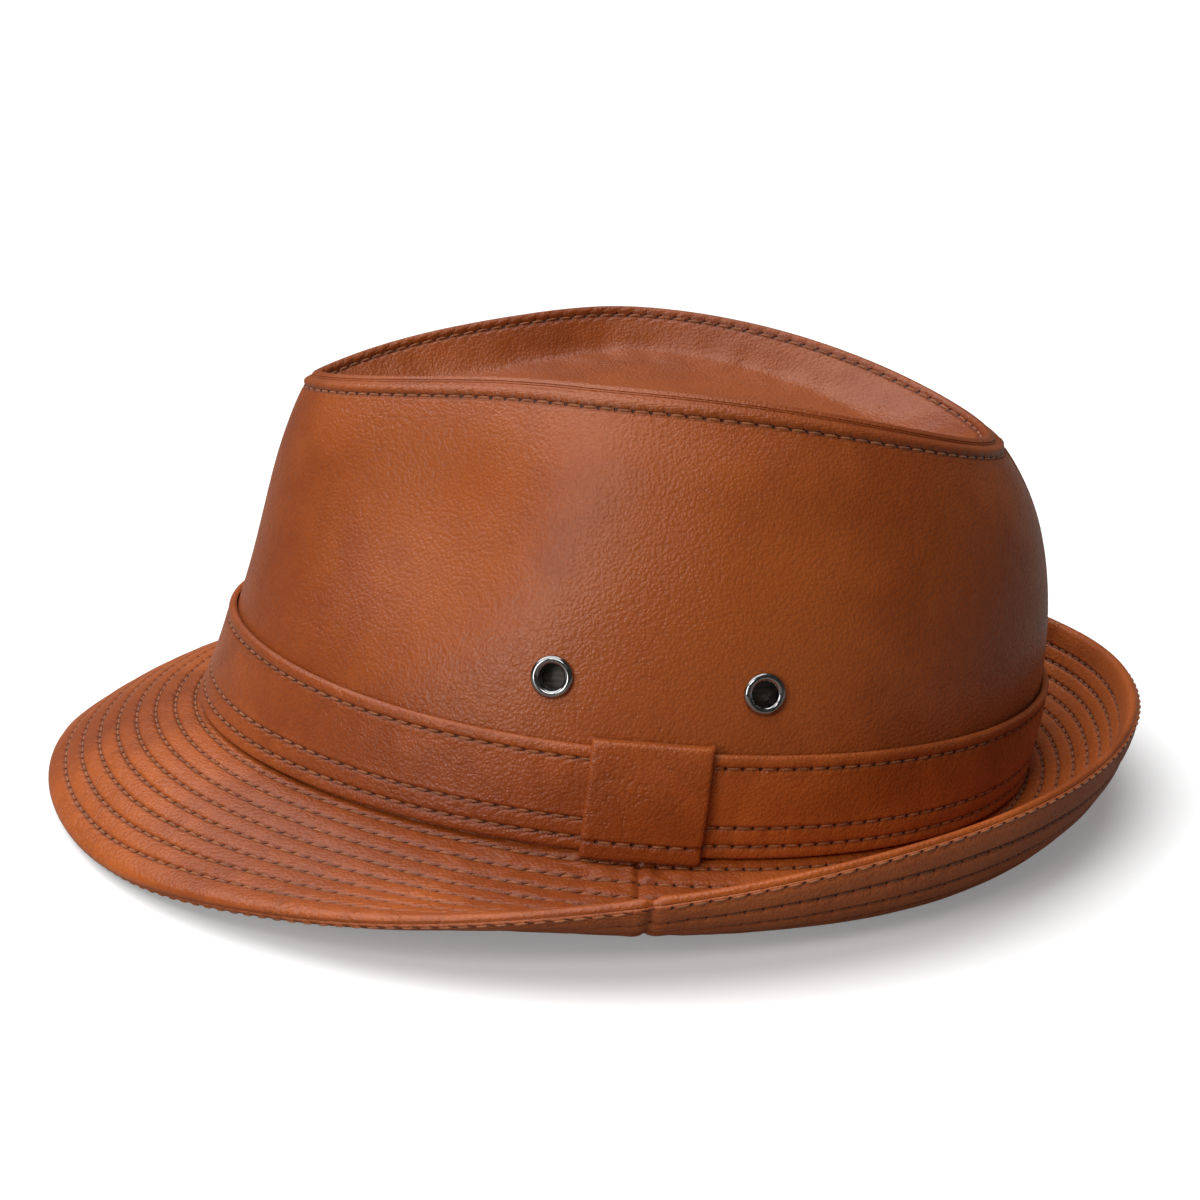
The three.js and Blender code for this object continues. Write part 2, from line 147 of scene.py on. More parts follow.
def fullness(angle, h):
    share = end_share(angle)
    front = from_front(angle) < 90
    middle = mix(FULL_SIDE[0], np.where(front, FULL_FRONT[0], FULL_REAR[0]), share)
    upper = mix(FULL_SIDE[1], np.where(front, FULL_FRONT[1], FULL_REAR[1]), share)
    return 4 * h * (1 - h) * middle + (256 / 27) * h**3 * (1 - h) * upper


def pinch(angle, h):
    """The broad hollow on each side of the front, and the crisp shoulder that ends it behind."""
    off = from_front(angle) - (PINCH_ANGLE - PINCH_SWEEP * (1 - h))
    spread = np.where(off < 0, PINCH_FRONT_SPREAD, PINCH_REAR_SPREAD)
    rise = smooth((h - PINCH_FOOT) / (PINCH_PEAK - PINCH_FOOT))
    fall = mix(1.0, PINCH_AT_RIM, smooth((h - PINCH_PEAK) / (1 - PINCH_PEAK)))
    hollow = PINCH_DEPTH * np.exp(-((off / spread) ** 2))
    off = from_front(angle) - (SHOULDER_ANGLE - SHOULDER_SWEEP * (1 - h))
    spread = np.where(off < 0, SHOULDER_FRONT_SPREAD, SHOULDER_REAR_SPREAD)
    return rise * fall * (hollow + SHOULDER_DEPTH * np.exp(-((off / spread) ** 2)))


def wall(angle, h, depth):
    """A point of the crown wall, h from 0 at the foot to 1 at the rim, depth inwards."""
    up = np.maximum(h, 0.0)
    low, high = oval(angle), rim(angle)
    out = mix(low, high, np.asarray(up)[..., None])
    out[..., 2] = np.where(np.asarray(h) < 0, h * RIM_END_HEIGHT, out[..., 2])
    swell = np.asarray(fullness(angle, up) - pinch(angle, up) - depth)
    return out + oval_normal(angle) * swell[..., None]


def wall_at(angle, z, depth):
    return wall(angle, z / rim(angle)[..., 2], depth)


def tip_floor(x, y):
    rise = TIP_SIDE_RISE[1] * (x / TIP_SIDE_RISE[0]) ** 2
    return TIP_CENTRE_HEIGHT + rise - TIP_END_FALL[1] * ((y - RIM_SHIFT) / TIP_END_FALL[0]) ** 2


def tip(angle, q, depth, inset):
    """A point of the tip, q from 0 at the rim to 1 at the centre, depth straight down."""
    edge = wall(angle, np.ones_like(angle), inset)
    centre = np.array([0.0, RIM_SHIFT, RIM_END_HEIGHT])
    out = mix(edge, centre, np.asarray(q)[..., None])
    reach = mix(TIP_REACH_SIDE, TIP_REACH_END, end_share(angle))
    floor = tip_floor(out[..., 0], out[..., 1])
    out[..., 2] = mix(rim(angle)[..., 2], floor, smooth(q / reach)) - depth
    return out


def tip_span(angle):
    """Distance from the centre to the rim, measured square to the rim."""
    edge, ahead = rim(angle), rim(angle + 0.5)
    along = ahead - rim(angle - 0.5)
    across = np.stack([along[..., 1], -along[..., 0]], -1)
    across /= np.linalg.norm(across, axis=-1, keepdims=True)
    away = edge[..., :2] - np.array([0.0, RIM_SHIFT])
    return np.abs((away * across).sum(-1))


def brim_value(angle, table):
    """Smooth value between the brim's cross sections."""
    place = from_front(angle) / 30.0
    values = np.array([table[1], *table, table[-2]], float)
    i = np.minimum(place.astype(int), 5)
    t = place - i
    a, b, c, d = (values[i + k] for k in range(4))
    return b + 0.5 * t * (c - a + t * (2 * a - 5 * b + 4 * c - d + t * (3 * (b - c) + d - a)))


def brim(angle, s, depth):
    """A point of the brim, s from 0 at the crown to 1 at the edge, depth below the top face."""
    width = brim_value(angle, BRIM_WIDTH)
    start = np.radians(brim_value(angle, BRIM_START))
    bend = np.radians(brim_value(angle, BRIM_END)) - start
    bend = np.where(np.abs(bend) < 1e-4, 1e-4, bend)
    slope = start + bend * s
    radius = width / bend
    near = np.clip(s, 0, 1)
    out = BRIM_INNER_GAP + radius * (np.sin(slope) - np.sin(start)) + depth * np.sin(slope) * near
    p = oval(angle) + oval_normal(angle) * np.asarray(out)[..., None]
    p[..., 2] = radius * (np.cos(start) - np.cos(slope)) - depth * mix(1.0, np.cos(slope), near)
    return p


def pitch(p):
    c, s = math.cos(REST_PITCH), math.sin(REST_PITCH)
    return np.stack([p[..., 0], p[..., 1] * c + p[..., 2] * s, p[..., 2] * c - p[..., 1] * s], -1)


def hat_origin():
    """Where the hat's own origin lies, from the crown wall's box in the frame."""
    low = np.array(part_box("crown_side")[0])
    foot = WALL_FOOT / RIM_END_HEIGHT
    ends = pitch(wall(np.array([0.0, 180.0]), np.array([foot, foot]), 0.0)) * MM
    return np.array([0.0, low[1] - ends[0, 1], low[2] - ends[1, 2]])


ORIGIN = hat_origin()


def settle(p):
    """From millimetres in the hat's own frame to metres in the row frame."""
    return pitch(p) * MM + ORIGIN


# ---------------------------------------------------------------- surfaces


def grid_normals(p, closed):
    """Unit normals of a grid of points, pointing along (across u) x (along v)."""
    if closed:
        du = np.roll(p, -1, 0) - np.roll(p, 1, 0)
        du[0] = du[-1] = p[1] - p[-2]
    else:
        du = np.gradient(p, axis=0)
    n = np.cross(du, np.gradient(p, axis=1))
    size = np.linalg.norm(n, axis=-1, keepdims=True)
    return np.where(size > 1e-9, n / np.maximum(size, 1e-9), np.array([0.0, 0.0, 1.0]))


def ripple(p, scale, seed):
    """Smooth seeded noise, about -1 to 1, at points in millimetres; scale may differ by axis."""
    q = p * np.asarray(scale, float) + seed
    flat = [noise.noise(Vector(v)) for v in q.reshape(-1, 3)]
    return np.array(flat).reshape(p.shape[:-1])


def running_length(p):
    step = np.linalg.norm(np.diff(p, axis=0), axis=-1)
    return np.concatenate([np.zeros((1, *step.shape[1:])), np.cumsum(step, axis=0)])


def stitch_pitch():
    """Millimetres from one needle hole to the next."""
    return bpy.context.scene.trilby.stitch_length / MM


class Drawn:
    """A sheet as drawn: its points, normals and stitch count along each row."""

    def __init__(self, place, us, vs, raise_by=None, closed=False, flip=False):
        u, v = np.meshgrid(us, vs, indexing="ij")
        base = place(u, v)
        facing = -1.0 if flip else 1.0
        self.us, self.vs, self.flip = np.asarray(us), np.asarray(vs), flip
        self.points = base
        if raise_by:
            self.points = base + grid_normals(base, closed) * facing * raise_by(u, v, base)[..., None]
        self.normals = grid_normals(self.points, closed) * facing
        count = running_length(base) / stitch_pitch()
        if closed:
            total = np.maximum(count[-1], 1e-6)
            count = count * (np.rint(total) / total)
        self.count = count

    def row(self, v):
        return int(np.argmin(np.abs(self.vs - v)))


def clear_selection():
    if bpy.context.object and bpy.context.object.mode != "OBJECT":
        bpy.ops.object.mode_set(mode="OBJECT")
    bpy.ops.object.select_all(action="DESELECT")


def pick(piece):
    clear_selection()
    piece.select_set(True)
    bpy.context.view_layer.objects.active = piece


def edit(piece, *steps):
    """Runs mesh operators on everything in the piece."""
    pick(piece)
    bpy.ops.object.mode_set(mode="EDIT")
    bpy.ops.mesh.select_all(action="SELECT")
    for step in steps:
        step()
    bpy.ops.object.mode_set(mode="OBJECT")


def apply_modifier(piece, kind, **values):
    pick(piece)
    modifier = piece.modifiers.new(kind.title(), kind)
    for key, value in values.items():
        setattr(modifier, key, value)
    bpy.ops.object.modifier_apply(modifier=modifier.name)


def draw_sheet(name, drawn, sewing):
    """Makes the drawn sheet as one face layer. sewing gives each point's distance to a stitch row."""
    clear_selection()
    nu, nv = len(drawn.us), len(drawn.vs)
    bpy.ops.mesh.primitive_grid_add(x_subdivisions=nu - 1, y_subdivisions=nv - 1, size=1)
    piece = bpy.context.object
    piece.name = piece.data.name = name
    mesh = piece.data
    co = np.empty(len(mesh.vertices) * 3)
    mesh.vertices.foreach_get("co", co)
    co = co.reshape(-1, 3)
    i = np.rint((co[:, 0] + 0.5) * (nu - 1)).astype(int)
    j = np.rint((co[:, 1] + 0.5) * (nv - 1)).astype(int)
    mesh.vertices.foreach_set("co", settle(drawn.points)[i, j].ravel())
    corner = np.empty(len(mesh.loops), int)
    mesh.loops.foreach_get("vertex_index", corner)
    marks = np.stack([drawn.count, sewing], -1)[i, j][corner]
    layer = mesh.uv_layers.new(name="Sewing")
    layer.data.foreach_set("uv", marks.ravel())
    mesh.uv_layers.active = mesh.uv_layers[0]
    mesh.update()
    if drawn.flip:
        edit(piece, bpy.ops.mesh.flip_normals)
    return piece


def close_doubles(piece):
    edit(piece, lambda: bpy.ops.mesh.remove_doubles(threshold=0.00002))


def shade(piece, angle=50.0):
    pick(piece)
    bpy.ops.object.shade_smooth_by_angle(angle=math.radians(angle))


def unsewn(drawn):
    return np.full(drawn.count.shape, FAR)


def thicken(piece, thickness):
    apply_modifier(piece, "SOLIDIFY", thickness=thickness * MM, offset=-1.0)


def finish_piece(piece, slot, material, *nodes):
    piece.data.materials.clear()
    piece.data.materials.append(material)
    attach(piece, "root")
    if nodes:
        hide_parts(*nodes)
    return piece


def nearest_row(v, rows):
    """Distance in millimetres to the nearest stitch row, no more than FAR."""
    away = np.full(np.shape(v), FAR)
    for row in rows:
        away = np.minimum(away, np.abs(v - row))
    return away


def groove(away, depth, width):
    return -depth * np.exp(-((away / width) ** 2))


# ---------------------------------------------------------------- stitches


def in_order(face):
    """A face's corners from the lowest on, so that the faces come out alike each time."""
    corners = tuple(face.vertices)
    first = corners.index(min(corners))
    return corners[first:] + corners[:first]


def stitch_shape(length, width):
    """One thread stitch along X, its ends diving into the leather: points and faces."""
    clear_selection()
    bpy.ops.mesh.primitive_uv_sphere_add(segments=6, ring_count=5, radius=1.0, location=(0, 0, 0))
    template = bpy.context.object
    co = np.array([v.co[:] for v in template.data.vertices])
    faces = sorted(in_order(face) for face in template.data.polygons)
    bpy.ops.object.delete()
    along = np.sign(co[:, 2]) * np.abs(co[:, 2]) ** 0.8
    shape = np.stack([along * length / 2, co[:, 0] * width / 2, co[:, 1] * width / 2], -1)
    shape[:, 2] -= 0.32 * along**4
    return shape, faces


def stitch_lines(name, lines, slot, material, length=3.3, width=0.62, lift=0.08):
    """Lays stitches along rows of drawn sheets and joins them in one piece."""
    shape, faces = stitch_shape(length, width)
    centres, frames = [], []
    for drawn, j, low, high in lines:
        count = drawn.count[:, j]
        first, last = math.ceil(count[0] + low), math.floor(count[-1] - high)
        middle = np.arange(first, last) + 0.5
        sample = lambda t, grid: np.stack([np.interp(t, count, grid[:, j, k]) for k in range(3)], -1)
        ahead = sample(middle + 0.35, drawn.points) - sample(middle - 0.35, drawn.points)
        ahead /= np.linalg.norm(ahead, axis=-1, keepdims=True)
        up = sample(middle, drawn.normals)
        side = np.cross(up, ahead)
        side /= np.linalg.norm(side, axis=-1, keepdims=True)
        up = np.cross(ahead, side)
        centres.append(sample(middle, drawn.points) + up * lift)
        frames.append(np.stack([ahead, side, up], 1))
    centres, frames = np.concatenate(centres), np.concatenate(frames)
    verts = centres[:, None, :] + np.einsum("vk,nkd->nvd", shape, frames)
    verts = settle(verts.reshape(-1, 3))
    count = len(shape)
    all_faces = [tuple(i + n * count for i in face) for n in range(len(centres)) for face in faces]
    mesh = bpy.data.meshes.new(name)
    mesh.from_pydata(verts.tolist(), [], all_faces)
    piece = bpy.data.objects.new(name, mesh)
    bpy.context.scene.collection.objects.link(piece)
    edit(piece, lambda: bpy.ops.mesh.normals_make_consistent(inside=False))
    shade(piece, 80.0)
    return finish_piece(piece, slot, material)


# ---------------------------------------------------------------- materials


class Nodes:
    """A short hand for wiring one node tree."""

    def __init__(self, tree):
        self.tree = tree

    def add(self, kind, **inputs):
        settings = {k: inputs.pop(k) for k in list(inputs) if k.islower()}
        node = self.tree.nodes.new(kind)
        for key, value in settings.items():
            setattr(node, key, value)
        for key, value in inputs.items():
            self.put(node.inputs[key.replace("_", " ")], value)
        return node

    def put(self, socket, value):
        if isinstance(value, bpy.types.NodeSocket):
            self.tree.links.new(value, socket)
        else:
            socket.default_value = value

    def math(self, operation, a, b=0.0, c=0.0):
        node = self.tree.nodes.new("ShaderNodeMath")
        node.operation = operation
        for socket, value in zip(node.inputs, (a, b, c)):
            self.put(socket, value)
        return node.outputs[0]

    def ramp(self, value, low, high, out_low=0.0, out_high=1.0):
        node = self.tree.nodes.new("ShaderNodeMapRange")
        node.interpolation_type = "SMOOTHSTEP"
        keys = ("Value", "From Min", "From Max", "To Min", "To Max")
        for key, given in zip(keys, (value, low, high, out_low, out_high)):
            self.put(node.inputs[key], given)
        return node.outputs[0]

    def blend(self, factor, a, b, mode="MIX"):
        node = self.tree.nodes.new("ShaderNodeMix")
        node.data_type = "RGBA"
        node.blend_type = mode
        self.put(node.inputs[0], factor)
        self.put(node.inputs[6], a)
        self.put(node.inputs[7], b)
        return node.outputs[2]

    def noise(self, vector, scale, detail=3.0, rough=0.55):
        node = self.tree.nodes.new("ShaderNodeTexNoise")
        self.put(node.inputs["Vector"], vector)
        node.inputs["Scale"].default_value = scale
        node.inputs["Detail"].default_value = detail
        node.inputs["Roughness"].default_value = rough
        return node.outputs[0]

    def voronoi(self, vector, scale, feature="F1"):
        node = self.tree.nodes.new("ShaderNodeTexVoronoi")
        node.feature = feature
        self.put(node.inputs["Vector"], vector)
        node.inputs["Scale"].default_value = scale
        return node.outputs["Distance"]


VECTOR, FLOAT, COLOR = "NodeSocketVector", "NodeSocketFloat", "NodeSocketColor"


def new_group(name, ins, outs):
    tree = bpy.data.node_groups.new(name, "ShaderNodeTree")
    for socket, kind in ins:
        tree.interface.new_socket(name=socket, in_out="INPUT", socket_type=kind)
    for socket, kind in outs:
        tree.interface.new_socket(name=socket, in_out="OUTPUT", socket_type=kind)
    given = tree.nodes.new("NodeGroupInput").outputs
    result = tree.nodes.new("NodeGroupOutput").inputs
    return tree, Nodes(tree), given, result


def grain_group():
    """Pebbled leather grain: a height, and a mask of the small valleys and of fine creases."""
    name = "Leather Grain"
    if name in bpy.data.node_groups:
        return bpy.data.node_groups[name]
    tree, n, given, result = new_group(
        name,
        [("Vector", VECTOR), ("Pebble Size", FLOAT), ("Crease", FLOAT)],
        [("Height", FLOAT), ("Valley", FLOAT), ("Crease Mask", FLOAT)],
    )
    scaled = tree.nodes.new("ShaderNodeVectorMath")
    scaled.operation = "SCALE"
    n.put(scaled.inputs[0], given["Vector"])
    n.put(scaled.inputs["Scale"], n.math("DIVIDE", 1.0, given["Pebble Size"]))
    warp = n.noise(scaled.outputs[0], 0.35, 2.0)
    moved = tree.nodes.new("ShaderNodeVectorMath")
    moved.operation = "ADD"
    n.put(moved.inputs[0], scaled.outputs[0])
    n.put(moved.inputs[1], warp)
    pebble = n.voronoi(moved.outputs[0], 1.0)
    fine = n.voronoi(moved.outputs[0], 2.3)
    folds = n.noise(given["Vector"], 95.0, 4.0, 0.62)
    crease = n.ramp(n.math("ABSOLUTE", n.math("SUBTRACT", folds, 0.5)), 0.0, 0.045, 1.0, 0.0)
    patchy = n.ramp(n.noise(given["Vector"], 22.0, 2.0), 0.45, 0.7)
    crease = n.math("MULTIPLY", n.math("MULTIPLY", crease, patchy), given["Crease"])
    height = n.math("SUBTRACT", 1.0, n.math("MULTIPLY", pebble, 0.75))
    height = n.math("SUBTRACT", height, n.math("MULTIPLY", fine, 0.3))
    height = n.math("SUBTRACT", height, n.math("MULTIPLY", crease, 0.9))
    n.put(result["Height"], height)
    n.put(result["Valley"], n.ramp(pebble, 0.42, 0.8))
    n.put(result["Crease Mask"], crease)
    return tree


def tone_group():
    """Uneven dye: broad clouds, small mottling and darker patches between two colours."""
    name = "Leather Tone"
    if name in bpy.data.node_groups:
        return bpy.data.node_groups[name]
    tree, n, given, result = new_group(
        name,
        [("Vector", VECTOR), ("Light", COLOR), ("Dark", COLOR)],
        [("Color", COLOR), ("Cloud", FLOAT)],
    )
    broad = n.ramp(n.noise(given["Vector"], 16.0, 3.0), 0.32, 0.7)
    small = n.noise(given["Vector"], 130.0, 3.0)
    speck = n.noise(given["Vector"], 520.0, 2.0)
    cloud = n.math("ADD", n.math("MULTIPLY", broad, 0.6), n.math("MULTIPLY", small, 0.3))
    cloud = n.math("ADD", cloud, n.math("MULTIPLY", n.math("SUBTRACT", speck, 0.5), 0.14))
    n.put(result["Color"], n.blend(n.ramp(cloud, 0.1, 0.95), given["Light"], given["Dark"]))
    n.put(result["Cloud"], cloud)
    return tree


def sewing_group():
    """Needle holes, the pressed groove and the puffs between stitches, from the Sewing map."""
    name = "Sewing Marks"
    if name in bpy.data.node_groups:
        return bpy.data.node_groups[name]
    tree, n, given, result = new_group(
        name,
        [("Vector", VECTOR), ("Stitch Length", FLOAT)],
        [("Hole", FLOAT), ("Groove", FLOAT), ("Pucker", FLOAT)],
    )
    split = n.add("ShaderNodeSeparateXYZ", Vector=given["Vector"])
    count, away = split.outputs[0], split.outputs[1]
    part = n.math("SUBTRACT", count, n.math("ROUND", count))
    along = n.math("MULTIPLY", part, given["Stitch Length"])
    square = n.math("ADD", n.math("MULTIPLY", along, along), n.math("MULTIPLY", away, away))
    reach = n.math("SQRT", square)
    n.put(result["Hole"], n.ramp(reach, 0.2, 0.5, 1.0, 0.0))
    n.put(result["Groove"], n.ramp(away, 0.1, 1.1, 1.0, 0.0))
    swell = n.math("ABSOLUTE", n.math("SINE", n.math("MULTIPLY", count, math.pi)))
    n.put(result["Pucker"], n.math("MULTIPLY", swell, n.ramp(away, 0.4, 2.2, 1.0, 0.0)))
    return tree


def start_material(name):
    material = bpy.data.materials.new(name)
    material.use_nodes = True
    tree = material.node_tree
    shader = next(node for node in tree.nodes if node.type == "BSDF_PRINCIPLED")
    n = Nodes(tree)
    coordinates = tree.nodes.new("ShaderNodeTexCoord")
    return material, n, shader, coordinates.outputs["Object"]


def leather(name, light, dark, pebble=0.00085, crease=0.4, rough=(0.29, 0.44), bump=0.00021):
    """Dyed leather with grain, uneven tone and the marks that the seams leave, with painted shade
    darkening the grain valleys, fine creases, stitch grooves and needle holes.
    """
    if name in bpy.data.materials:
        return bpy.data.materials[name]
    material, n, shader, place = start_material(name)
    grain = n.add("ShaderNodeGroup", node_tree=grain_group())
    n.put(grain.inputs["Vector"], place)
    n.put(grain.inputs["Pebble Size"], pebble)
    n.put(grain.inputs["Crease"], crease)
    tone = n.add("ShaderNodeGroup", node_tree=tone_group())
    n.put(tone.inputs["Vector"], place)
    n.put(tone.inputs["Light"], (*light, 1.0))
    n.put(tone.inputs["Dark"], (*dark, 1.0))
    sewing = n.add("ShaderNodeGroup", node_tree=sewing_group())
    n.put(sewing.inputs["Vector"], n.add("ShaderNodeUVMap", uv_map="Sewing").outputs[0])
    n.put(sewing.inputs["Stitch Length"], stitch_pitch())
    # Painted shade: the grain valleys, fine creases and stitch grooves are darkened towards this shadow
    # colour, and the needle holes are painted near black.
    shadow = (dark[0] * 0.45, dark[1] * 0.38, dark[2] * 0.3, 1.0)
    needle_hole_shade = (0.04, 0.012, 0.005, 1.0)
    # Mask of the painted shade in the grain valleys, fine creases and stitch grooves.
    painted_shade = n.math("MULTIPLY", grain.outputs["Valley"], 0.13)
    painted_shade = n.math("ADD", painted_shade, n.math("MULTIPLY", grain.outputs["Crease Mask"], 0.22))
    painted_shade = n.math("ADD", painted_shade, n.math("MULTIPLY", sewing.outputs["Groove"], 0.45))
    colour = n.blend(n.math("MINIMUM", painted_shade, 1.0), tone.outputs["Color"], shadow)
    # Painted shade inside the needle holes.
    colour = n.blend(sewing.outputs["Hole"], colour, needle_hole_shade)
    n.put(shader.inputs["Base Color"], colour)
    level = n.math("MULTIPLY", n.math("ADD", tone.outputs["Cloud"], grain.outputs["Valley"]), 0.5)
    n.put(shader.inputs["Roughness"], n.ramp(level, 0.0, 1.0, rough[0], rough[1]))
    height = n.math("ADD", grain.outputs["Height"], n.math("MULTIPLY", sewing.outputs["Pucker"], 0.9))
    height = n.math("SUBTRACT", height, n.math("MULTIPLY", sewing.outputs["Hole"], 2.5))
    normal = n.add("ShaderNodeBump", Height=height, Distance=bump, Strength=0.85)
    n.put(shader.inputs["Normal"], normal.outputs[0])
    shader.inputs["Specular IOR Level"].default_value = 0.34
    shader.inputs["Sheen Weight"].default_value = 0.03
    shader.inputs["Sheen Roughness"].default_value = 0.45
    shader.inputs["Sheen Tint"].default_value = (1.0, 0.86, 0.78, 1.0)
    return material


def thread_material(name, colour):
    """Twisted thread: fine slanting ply lines and a little fuzz."""
    if name in bpy.data.materials:
        return bpy.data.materials[name]
    material, n, shader, place = start_material(name)
    ply = n.noise(place, 3200.0, 1.0)
    tint = n.noise(place, 260.0, 2.0)
    dark = tinted(colour, 0.55)
    dyed = n.blend(n.ramp(tint, 0.3, 0.75), (*colour, 1.0), (*dark, 1.0))
    twist = n.ramp(ply, 0.5, 0.72, 0.0, 0.5)
    n.put(shader.inputs["Base Color"], n.blend(twist, dyed, (*dark, 1.0)))
    n.put(shader.inputs["Roughness"], n.ramp(ply, 0.2, 0.8, 0.5, 0.75))
    relief = n.add("ShaderNodeBump", Height=ply, Distance=0.00012, Strength=0.7)
    n.put(shader.inputs["Normal"], relief.outputs[0])
    shader.inputs["Sheen Weight"].default_value = 0.2
    return material


def woven_material(name, light, dark, warp_scale, rib_scale, rough, rib_axis=2, bump=0.00015):
    """Woven cloth: ribs along one axis crossed by fine threads, with painted shade in the grooves
    between them.
    """
    if name in bpy.data.materials:
        return bpy.data.materials[name]
    material, n, shader, place = start_material(name)
    split = n.add("ShaderNodeSeparateXYZ", Vector=place)
    rib = n.math("SINE", n.math("MULTIPLY", split.outputs[rib_axis], rib_scale))
    cross = n.noise(place, warp_scale, 1.0)
    weave = n.math("ADD", n.math("MULTIPLY", rib, 0.5), n.math("MULTIPLY", cross, 0.9))
    cloud = n.noise(place, 40.0, 2.0)
    mixed = n.math("ADD", n.math("MULTIPLY", weave, 0.5), n.math("MULTIPLY", cloud, 0.5))
    # Painted shade: the cloth is darker where the weave lies low, between ribs and threads, mixed with
    # random cloud tone.
    shown = n.blend(n.ramp(mixed, 0.1, 0.8), (*dark, 1.0), (*light, 1.0))
    n.put(shader.inputs["Base Color"], shown)
    n.put(shader.inputs["Roughness"], n.ramp(cloud, 0.3, 0.7, rough - 0.06, rough + 0.06))
    relief = n.add("ShaderNodeBump", Height=weave, Distance=bump, Strength=0.8)
    n.put(shader.inputs["Normal"], relief.outputs[0])
    shader.inputs["Sheen Weight"].default_value = 0.25
    return material


def metal_material(name, colour):
    """Polished plating with faint rubbing marks."""
    if name in bpy.data.materials:
        return bpy.data.materials[name]
    material, n, shader, place = start_material(name)
    marks = n.noise(place, 900.0, 4.0)
    smear = n.noise(place, 220.0, 2.0)
    dark = tinted(colour, 0.62)
    shown = n.blend(n.ramp(smear, 0.35, 0.7), (*colour, 1.0), (*dark, 1.0))
    n.put(shader.inputs["Base Color"], shown)
    n.put(shader.inputs["Roughness"], n.ramp(marks, 0.3, 0.75, 0.1, 0.26))
    relief = n.add("ShaderNodeBump", Height=marks, Distance=0.00002, Strength=0.4)
    n.put(shader.inputs["Normal"], relief.outputs[0])
    shader.inputs["Metallic"].default_value = 1.0
    return material


def tinted(colour, *factors):
    return tuple(min(1.0, c * f) for c, f in zip(colour, factors * 3 if len(factors) == 1 else factors))


def crown_leather():
    s = bpy.context.scene.trilby
    return leather("crown leather", s.leather_light, s.leather_dark, crease=0.45)


def band_leather():
    s = bpy.context.scene.trilby
    light = tinted(s.leather_light, 1.14)
    return leather("band leather", light, s.leather_dark, pebble=0.0008, crease=0.5, rough=(0.28, 0.44))


def brim_leather():
    s = bpy.context.scene.trilby
    light = tinted(s.leather_light, 1.27)
    return leather("brim leather", light, s.leather_dark, pebble=0.0009, crease=0.7, bump=0.00018)


def under_leather():
    s = bpy.context.scene.trilby
    light, dark = tinted(s.leather_light, 1.35, 1.5, 2.2), tinted(s.leather_dark, 1.35, 1.5, 2.2)
    return leather("under leather", light, dark, crease=0.7, rough=(0.45, 0.62))


def thread():
    return thread_material("waxed thread", bpy.context.scene.trilby.thread_colour)


def interlining():
    return woven_material("fused interlining", (0.72, 0.67, 0.58), (0.6, 0.55, 0.47), 1500, 3000, 0.85)


def cover(node, material):
    """Gives a CAD node that the leather hides its material."""
    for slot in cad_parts[node].material_slots:
        slot.material = material


def bobbin_thread():
    """The darker thread that shows on the under brim."""
    return thread_material("bobbin thread", tinted(bpy.context.scene.trilby.thread_colour, 0.6))


# ---------------------------------------------------------------- crown

RIM_NOMINAL = 92.0  # wall length that rim distances are reckoned against
WALL_STITCH, TIP_STITCH, BACK_STITCH = 3.1, 2.5, 2.9
TIP_REST = 8.0
BACK_RADIUS = 92.0
RIM_NOSE = 0.75
# The first two in metres.
EYELET_HOLE, EYELET_REACH, TORUS_RADIUS = 0.0036, 0.006, 4.0


def finely(centre, reach=1.6):
    """Stations close together about a seam or stitch row."""
    steps = (0.0, 0.22, 0.5, 0.85, reach)
    return [centre + side * step for step in steps for side in (-1, 1)]


def stations(low, high, step, *fine):
    table = list(np.arange(low, high, step)) + [high]
    near = [v for centre in fine for v in finely(centre) if low < v < high]
    far = [v for v in table if all(abs(v - w) > 0.12 * step for w in near)]
    return np.unique(np.round(np.array(far + near), 4))


def around(count=361):
    """Angles once round the hat."""
    return np.linspace(-180, 180, count)


def seam_away(angle):
    """Millimetres from the seam at the back of the crown."""
    return np.radians(180.0 - from_front(angle)) * BACK_RADIUS


def crown_angles():
    table = np.arange(-180.0, 180.1, 0.8)
    near = [0.13, 0.3, 0.55, 0.9, 1.3, 1.65, 1.8, 1.95, 2.3]
    fine = [side * (180.0 - v) for v in near for side in (-1, 1)]
    keep = [a for a in table if all(abs(a - b) > 0.07 for b in fine)]
    return np.unique(np.round(np.array(keep + fine), 4))


def crown_wall(angle, below):
    """A point of the wall at a distance below the rim; negative distances roll in over the rim."""
    turn = np.clip(-below / RIM_NOSE, 0.0, 2.2)
    h = 1.0 - np.maximum(below, 0.0) / RIM_NOMINAL
    p = wall(angle, h, RIM_NOSE * (1 - np.cos(turn)))
    p[..., 2] += 0.3 * RIM_NOSE * np.sin(turn) * np.where(below < 0, 1.0, 0.0)
    return p


def crown_wall_relief(angle, below, p):
    upper = smooth(below / 3.0)
    away = seam_away(angle)
    welt = 0.6 * bump(below, 1.7, 1.1) * smooth(below)
    height = welt + groove(np.abs(below - WALL_STITCH), 0.45, 0.5) - 0.35 * bump(below, 0.0, 0.6)
    height += 1.1 * bump(below, 13.0, 8.0) * bump(from_front(angle), 104.0, 34.0)
    height += groove(away, 0.55, 0.7) * upper + groove(np.abs(away - BACK_STITCH), 0.3, 0.5) * upper
    height += 0.35 * bump(away, 1.4, 1.1) * upper
    height += 0.42 * ripple(p, (0.02, 0.02, 0.016), 3.7) * smooth((below - 2) / 14)
    height += 0.16 * ripple(p, (0.06, 0.06, 0.05), 9.1) * smooth((below - 2) / 8)
    return height


def drawn_crown_wall():
    low = RIM_NOMINAL * (1.0 - WALL_FOOT / RIM_END_HEIGHT)
    rolled = [-1.65, -1.2, -0.8, -0.45, -0.2]
    below = np.concatenate([rolled, stations(0.0, low, 1.35, WALL_STITCH, 1.2)])
    return Drawn(crown_wall, crown_angles(), below[::-1], crown_wall_relief, closed=True)


